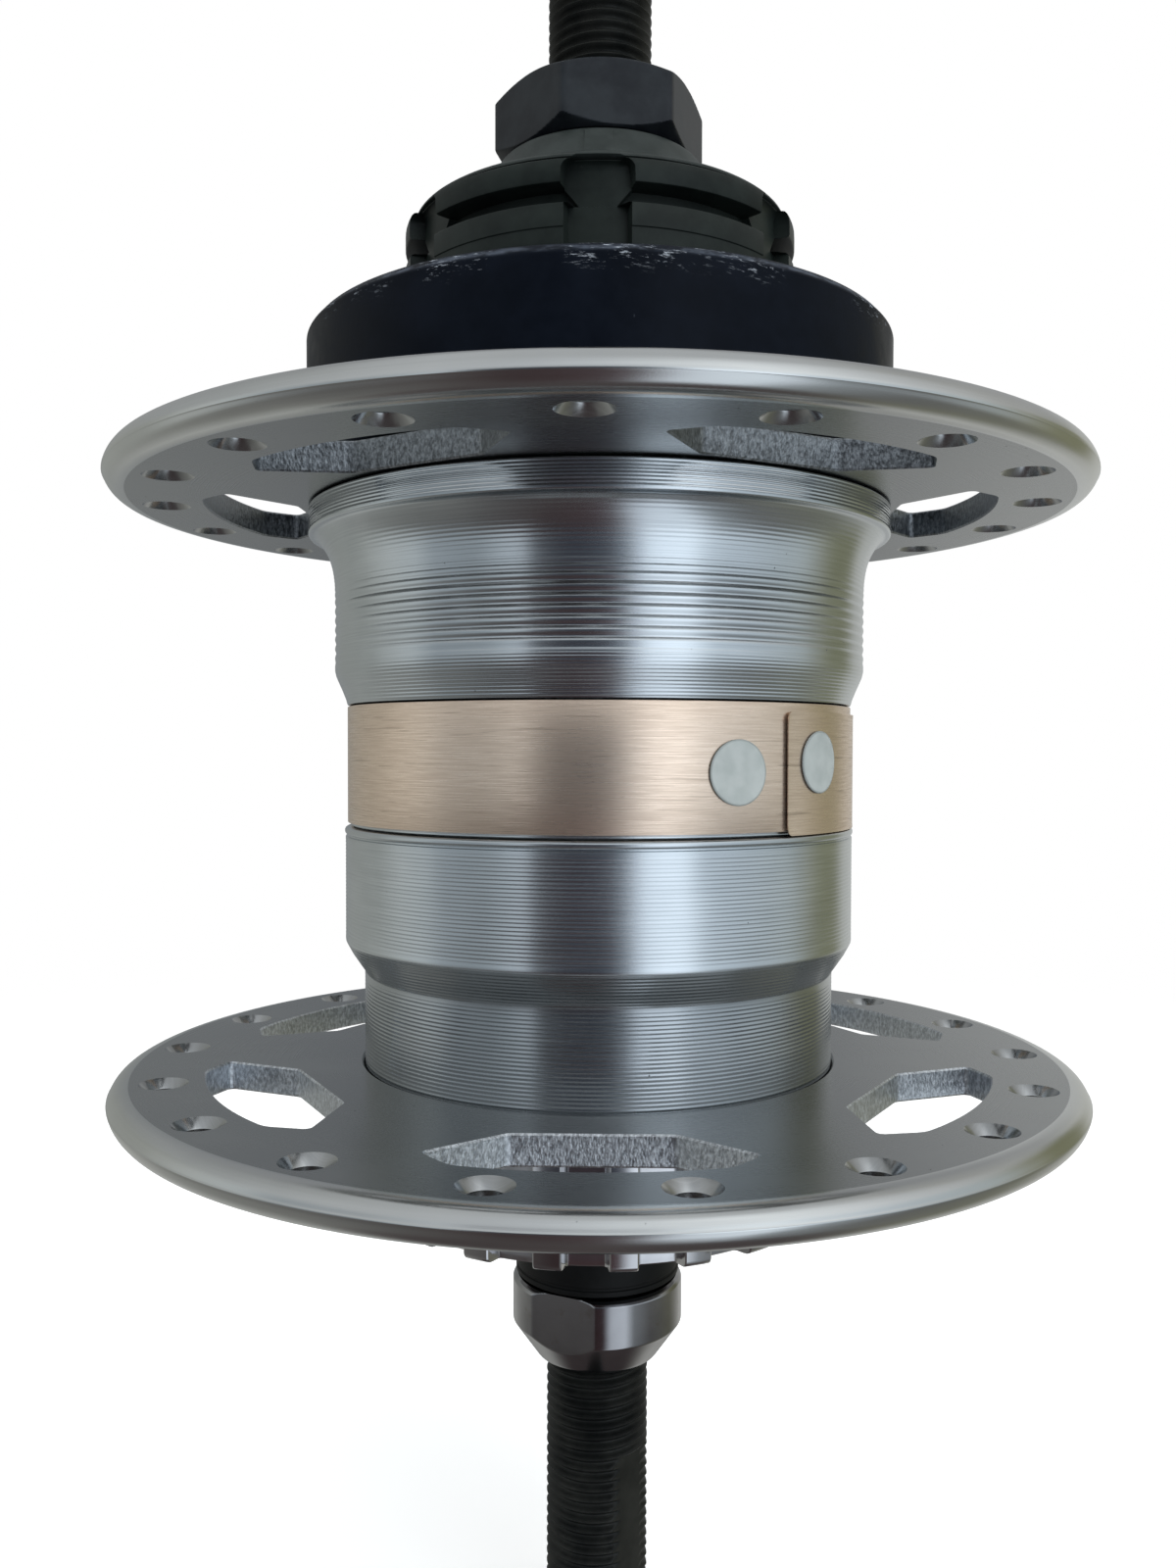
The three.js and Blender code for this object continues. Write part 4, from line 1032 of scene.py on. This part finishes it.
def carry_over():
    done = {n for o in scene.objects for n in list(o.get("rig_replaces", []))}
    for name, ob in NODES.items():
        if name in done:
            continue
        me = ob.data
        me.materials.clear()
        me.materials.append(M[inside_material(name)])
        weld = ob.modifiers.new("weld", "WELD")
        weld.merge_threshold = 1e-6
        bevel = ob.modifiers.new("edges", "BEVEL")
        bevel.width = 0.00012
        bevel.segments = 2
        bevel.limit_method = "ANGLE"
        bevel.angle_limit = math.radians(38)
        bevel.use_clamp_overlap = True


# ------------------------------------------------------------------ assemble
shell_barrel()
flange("right_spoke_flange", "flange_right", -91.8, -61.8)
flange("left_spoke_flange", "flange_left", -81.3, -91.3)
label_band()
label_lap()
sticker("round_sticker_1", "paper_dot_1", -62.3, 23.98, 2.7)
sticker("round_sticker_2", "paper_dot_2", -39.6, 24.2, 2.65)
dust_ring()
driver()
dust_cap()
lock_nut()
small_turned()
left_cup()
left_cone()
axle()
return_spring()
carry_over()


# ------------------------------------------------------------------ floor, light and background
def stage_set():
    floor_z = cad_box[0][2] - 0.0002
    m = Mesh()
    rings = [0.0, 20, 60, 120, 200, 300, 420, 560]
    m.patch(np.stack([polar(np.full(97, float(r)), np.linspace(0, TAU, 97), np.full(97, floor_z / MM)) for r in rings]))
    g = Graph("pale_floor")
    x, y, z, r, th = g.coords()
    tone = g.mix(g.noise(g.combine(x, y, z), 0.02, 2.0), (0.86, 0.87, 0.87), (0.90, 0.90, 0.90))
    g.finish(Base_Color=tone, Roughness=0.7, Emission_Color=tone, Emission_Strength=0.5)
    clear = g.node("ShaderNodeBsdfTransparent")
    mixer = g.node("ShaderNodeMixShader")
    far = g.rescale(r, 130.0, 420.0)
    back = g.node("ShaderNodeNewGeometry").outputs["Backfacing"]
    g.set(mixer.inputs[0], g.math("MAXIMUM", far, back))
    g.set(mixer.inputs[1], g.shader.outputs[0])
    g.set(mixer.inputs[2], clear.outputs[0])
    g.set(g.nodes["Material Output"].inputs[0], mixer.outputs[0])
    V = np.concatenate(m.verts)
    me = bpy.data.meshes.new("floor")
    me.from_pydata((V * MM).tolist(), [], m.faces)
    bm = bmesh.new()
    bm.from_mesh(me)
    bmesh.ops.remove_doubles(bm, verts=bm.verts, dist=1e-6)
    bmesh.ops.recalc_face_normals(bm, faces=bm.faces)
    if sum(f.normal.z for f in bm.faces) < 0:
        bmesh.ops.reverse_faces(bm, faces=bm.faces)
    bm.to_mesh(me)
    bm.free()
    me.materials.append(g.owner)
    floor = bpy.data.objects.new("floor", me)
    scene.collection.objects.link(floor)
    floor.visible_glossy = False
    floor.visible_diffuse = False
    floor.visible_shadow = False


def studio_world():
    g = Graph("studio", world=True)
    scene.world = g.owner
    for n in list(g.nodes):
        g.nodes.remove(n)
    tc = g.node("ShaderNodeTexCoord")
    sep = g.node("ShaderNodeSeparateXYZ", {0: tc.outputs["Generated"]})
    az = g.math("ARCTAN2", sep.outputs[0], g.math("MULTIPLY", sep.outputs[1], -1.0))
    u = g.math("ADD", g.math("DIVIDE", az, TAU), 0.5)

    def at(deg):
        return deg / 360.0 + 0.5

    horizon = g.ramp(u, [
        (at(-180), (0.14, 0.155, 0.18)), (at(-165), (0.27, 0.285, 0.295)), (at(-140), (0.37, 0.38, 0.355)), (at(-112), (0.43, 0.44, 0.41)), (at(-97), (0.62, 0.64, 0.62)), (at(-82), (0.66, 0.70, 0.70)),
        (at(-72), (0.42, 0.46, 0.49)), (at(-50), (0.38, 0.42, 0.445)), (at(-39), (0.60, 0.66, 0.70)), (at(-31), (0.80, 0.86, 0.92)), (at(-28), (0.12, 0.13, 0.145)),
        (at(-14), (0.05, 0.055, 0.07)), (at(4), (0.055, 0.065, 0.085)), (at(12), (0.22, 0.25, 0.29)), (at(19), (1.35, 1.48, 1.62)), (at(36), (1.50, 1.64, 1.78)),
        (at(44), (0.84, 0.94, 1.03)), (at(64), (0.70, 0.78, 0.84)), (at(92), (0.56, 0.61, 0.61)), (at(104), (0.38, 0.38, 0.31)), (at(113), (0.27, 0.27, 0.17)),
        (at(128), (0.25, 0.25, 0.16)), (at(138), (0.58, 0.58, 0.54)), (at(160), (0.60, 0.61, 0.60)), (at(173), (0.26, 0.27, 0.28)), (at(180), (0.14, 0.155, 0.18)),
    ])
    high = g.ramp(u, [
        (at(-180), (0.32, 0.33, 0.35)), (at(-140), (0.40, 0.41, 0.41)), (at(-100), (0.50, 0.515, 0.51)), (at(-50), (0.66, 0.68, 0.69)), (at(-15), (0.72, 0.75, 0.78)), (at(8), (0.90, 0.94, 0.97)),
        (at(40), (1.25, 1.29, 1.32)), (at(75), (0.82, 0.84, 0.85)), (at(110), (0.52, 0.52, 0.50)), (at(180), (0.32, 0.33, 0.35)),
    ])
    low = g.ramp(u, [
        (at(-180), (0.16, 0.165, 0.165)), (at(-150), (0.50, 0.505, 0.48)), (at(-110), (0.30, 0.30, 0.28)), (at(-60), (0.15, 0.145, 0.14)), (at(-20), (0.065, 0.045, 0.046)), (at(8), (0.075, 0.045, 0.048)),
        (at(18), (0.95, 1.03, 1.12)), (at(38), (1.10, 1.20, 1.30)), (at(50), (0.34, 0.37, 0.39)), (at(75), (0.18, 0.18, 0.175)), (at(115), (0.24, 0.24, 0.19)), (at(150), (0.60, 0.60, 0.57)), (at(180), (0.16, 0.165, 0.165)),
    ])
    h = sep.outputs[2]
    c = g.mix(g.rescale(h, -0.44, -0.14), low, horizon)
    c = g.mix(g.rescale(h, 0.24, 0.52), c, high)
    c = g.mix(g.rescale(h, 0.78, 0.96), c, (0.62, 0.64, 0.65))
    c = g.mix(g.rescale(h, -0.78, -0.94), c, (0.09, 0.075, 0.075))
    lit = g.node("ShaderNodeBackground", {0: c, 1: 1.0})
    seen = g.node("ShaderNodeBackground", {0: rgba(1.0), 1: 1.0})
    path = g.node("ShaderNodeLightPath")
    mixer = g.node("ShaderNodeMixShader")
    g.set(mixer.inputs[0], path.outputs["Is Camera Ray"])
    g.set(mixer.inputs[1], lit.outputs[0])
    g.set(mixer.inputs[2], seen.outputs[0])
    out = g.node("ShaderNodeOutputWorld")
    g.set(out.inputs[0], mixer.outputs[0])


def softbox(name, location, size, energy, colour=(1, 1, 1)):
    d = bpy.data.lights.new(name, "AREA")
    d.shape = "RECTANGLE"
    d.size, d.size_y = size
    d.energy = energy
    d.color = colour
    o = bpy.data.objects.new(name, d)
    scene.collection.objects.link(o)
    o.location = location
    o.rotation_euler = (Vector((0, 0, 0)) - Vector(location)).to_track_quat("-Z", "Y").to_euler()
    o.visible_camera = False
    o.visible_glossy = False
    return o


stage_set()
studio_world()
softbox("key_light", (0.35, -0.45, 0.75), (0.5, 0.5), 5.0, (1.0, 0.99, 0.97))
softbox("front_light", (0.35, -0.85, 0.12), (0.6, 0.6), 2.0, (0.97, 0.99, 1.0))
softbox("fill_light", (-0.7, -0.2, 0.45), (0.5, 0.7), 2.5, (0.97, 0.99, 1.0))
scene.view_settings.view_transform = "Standard"
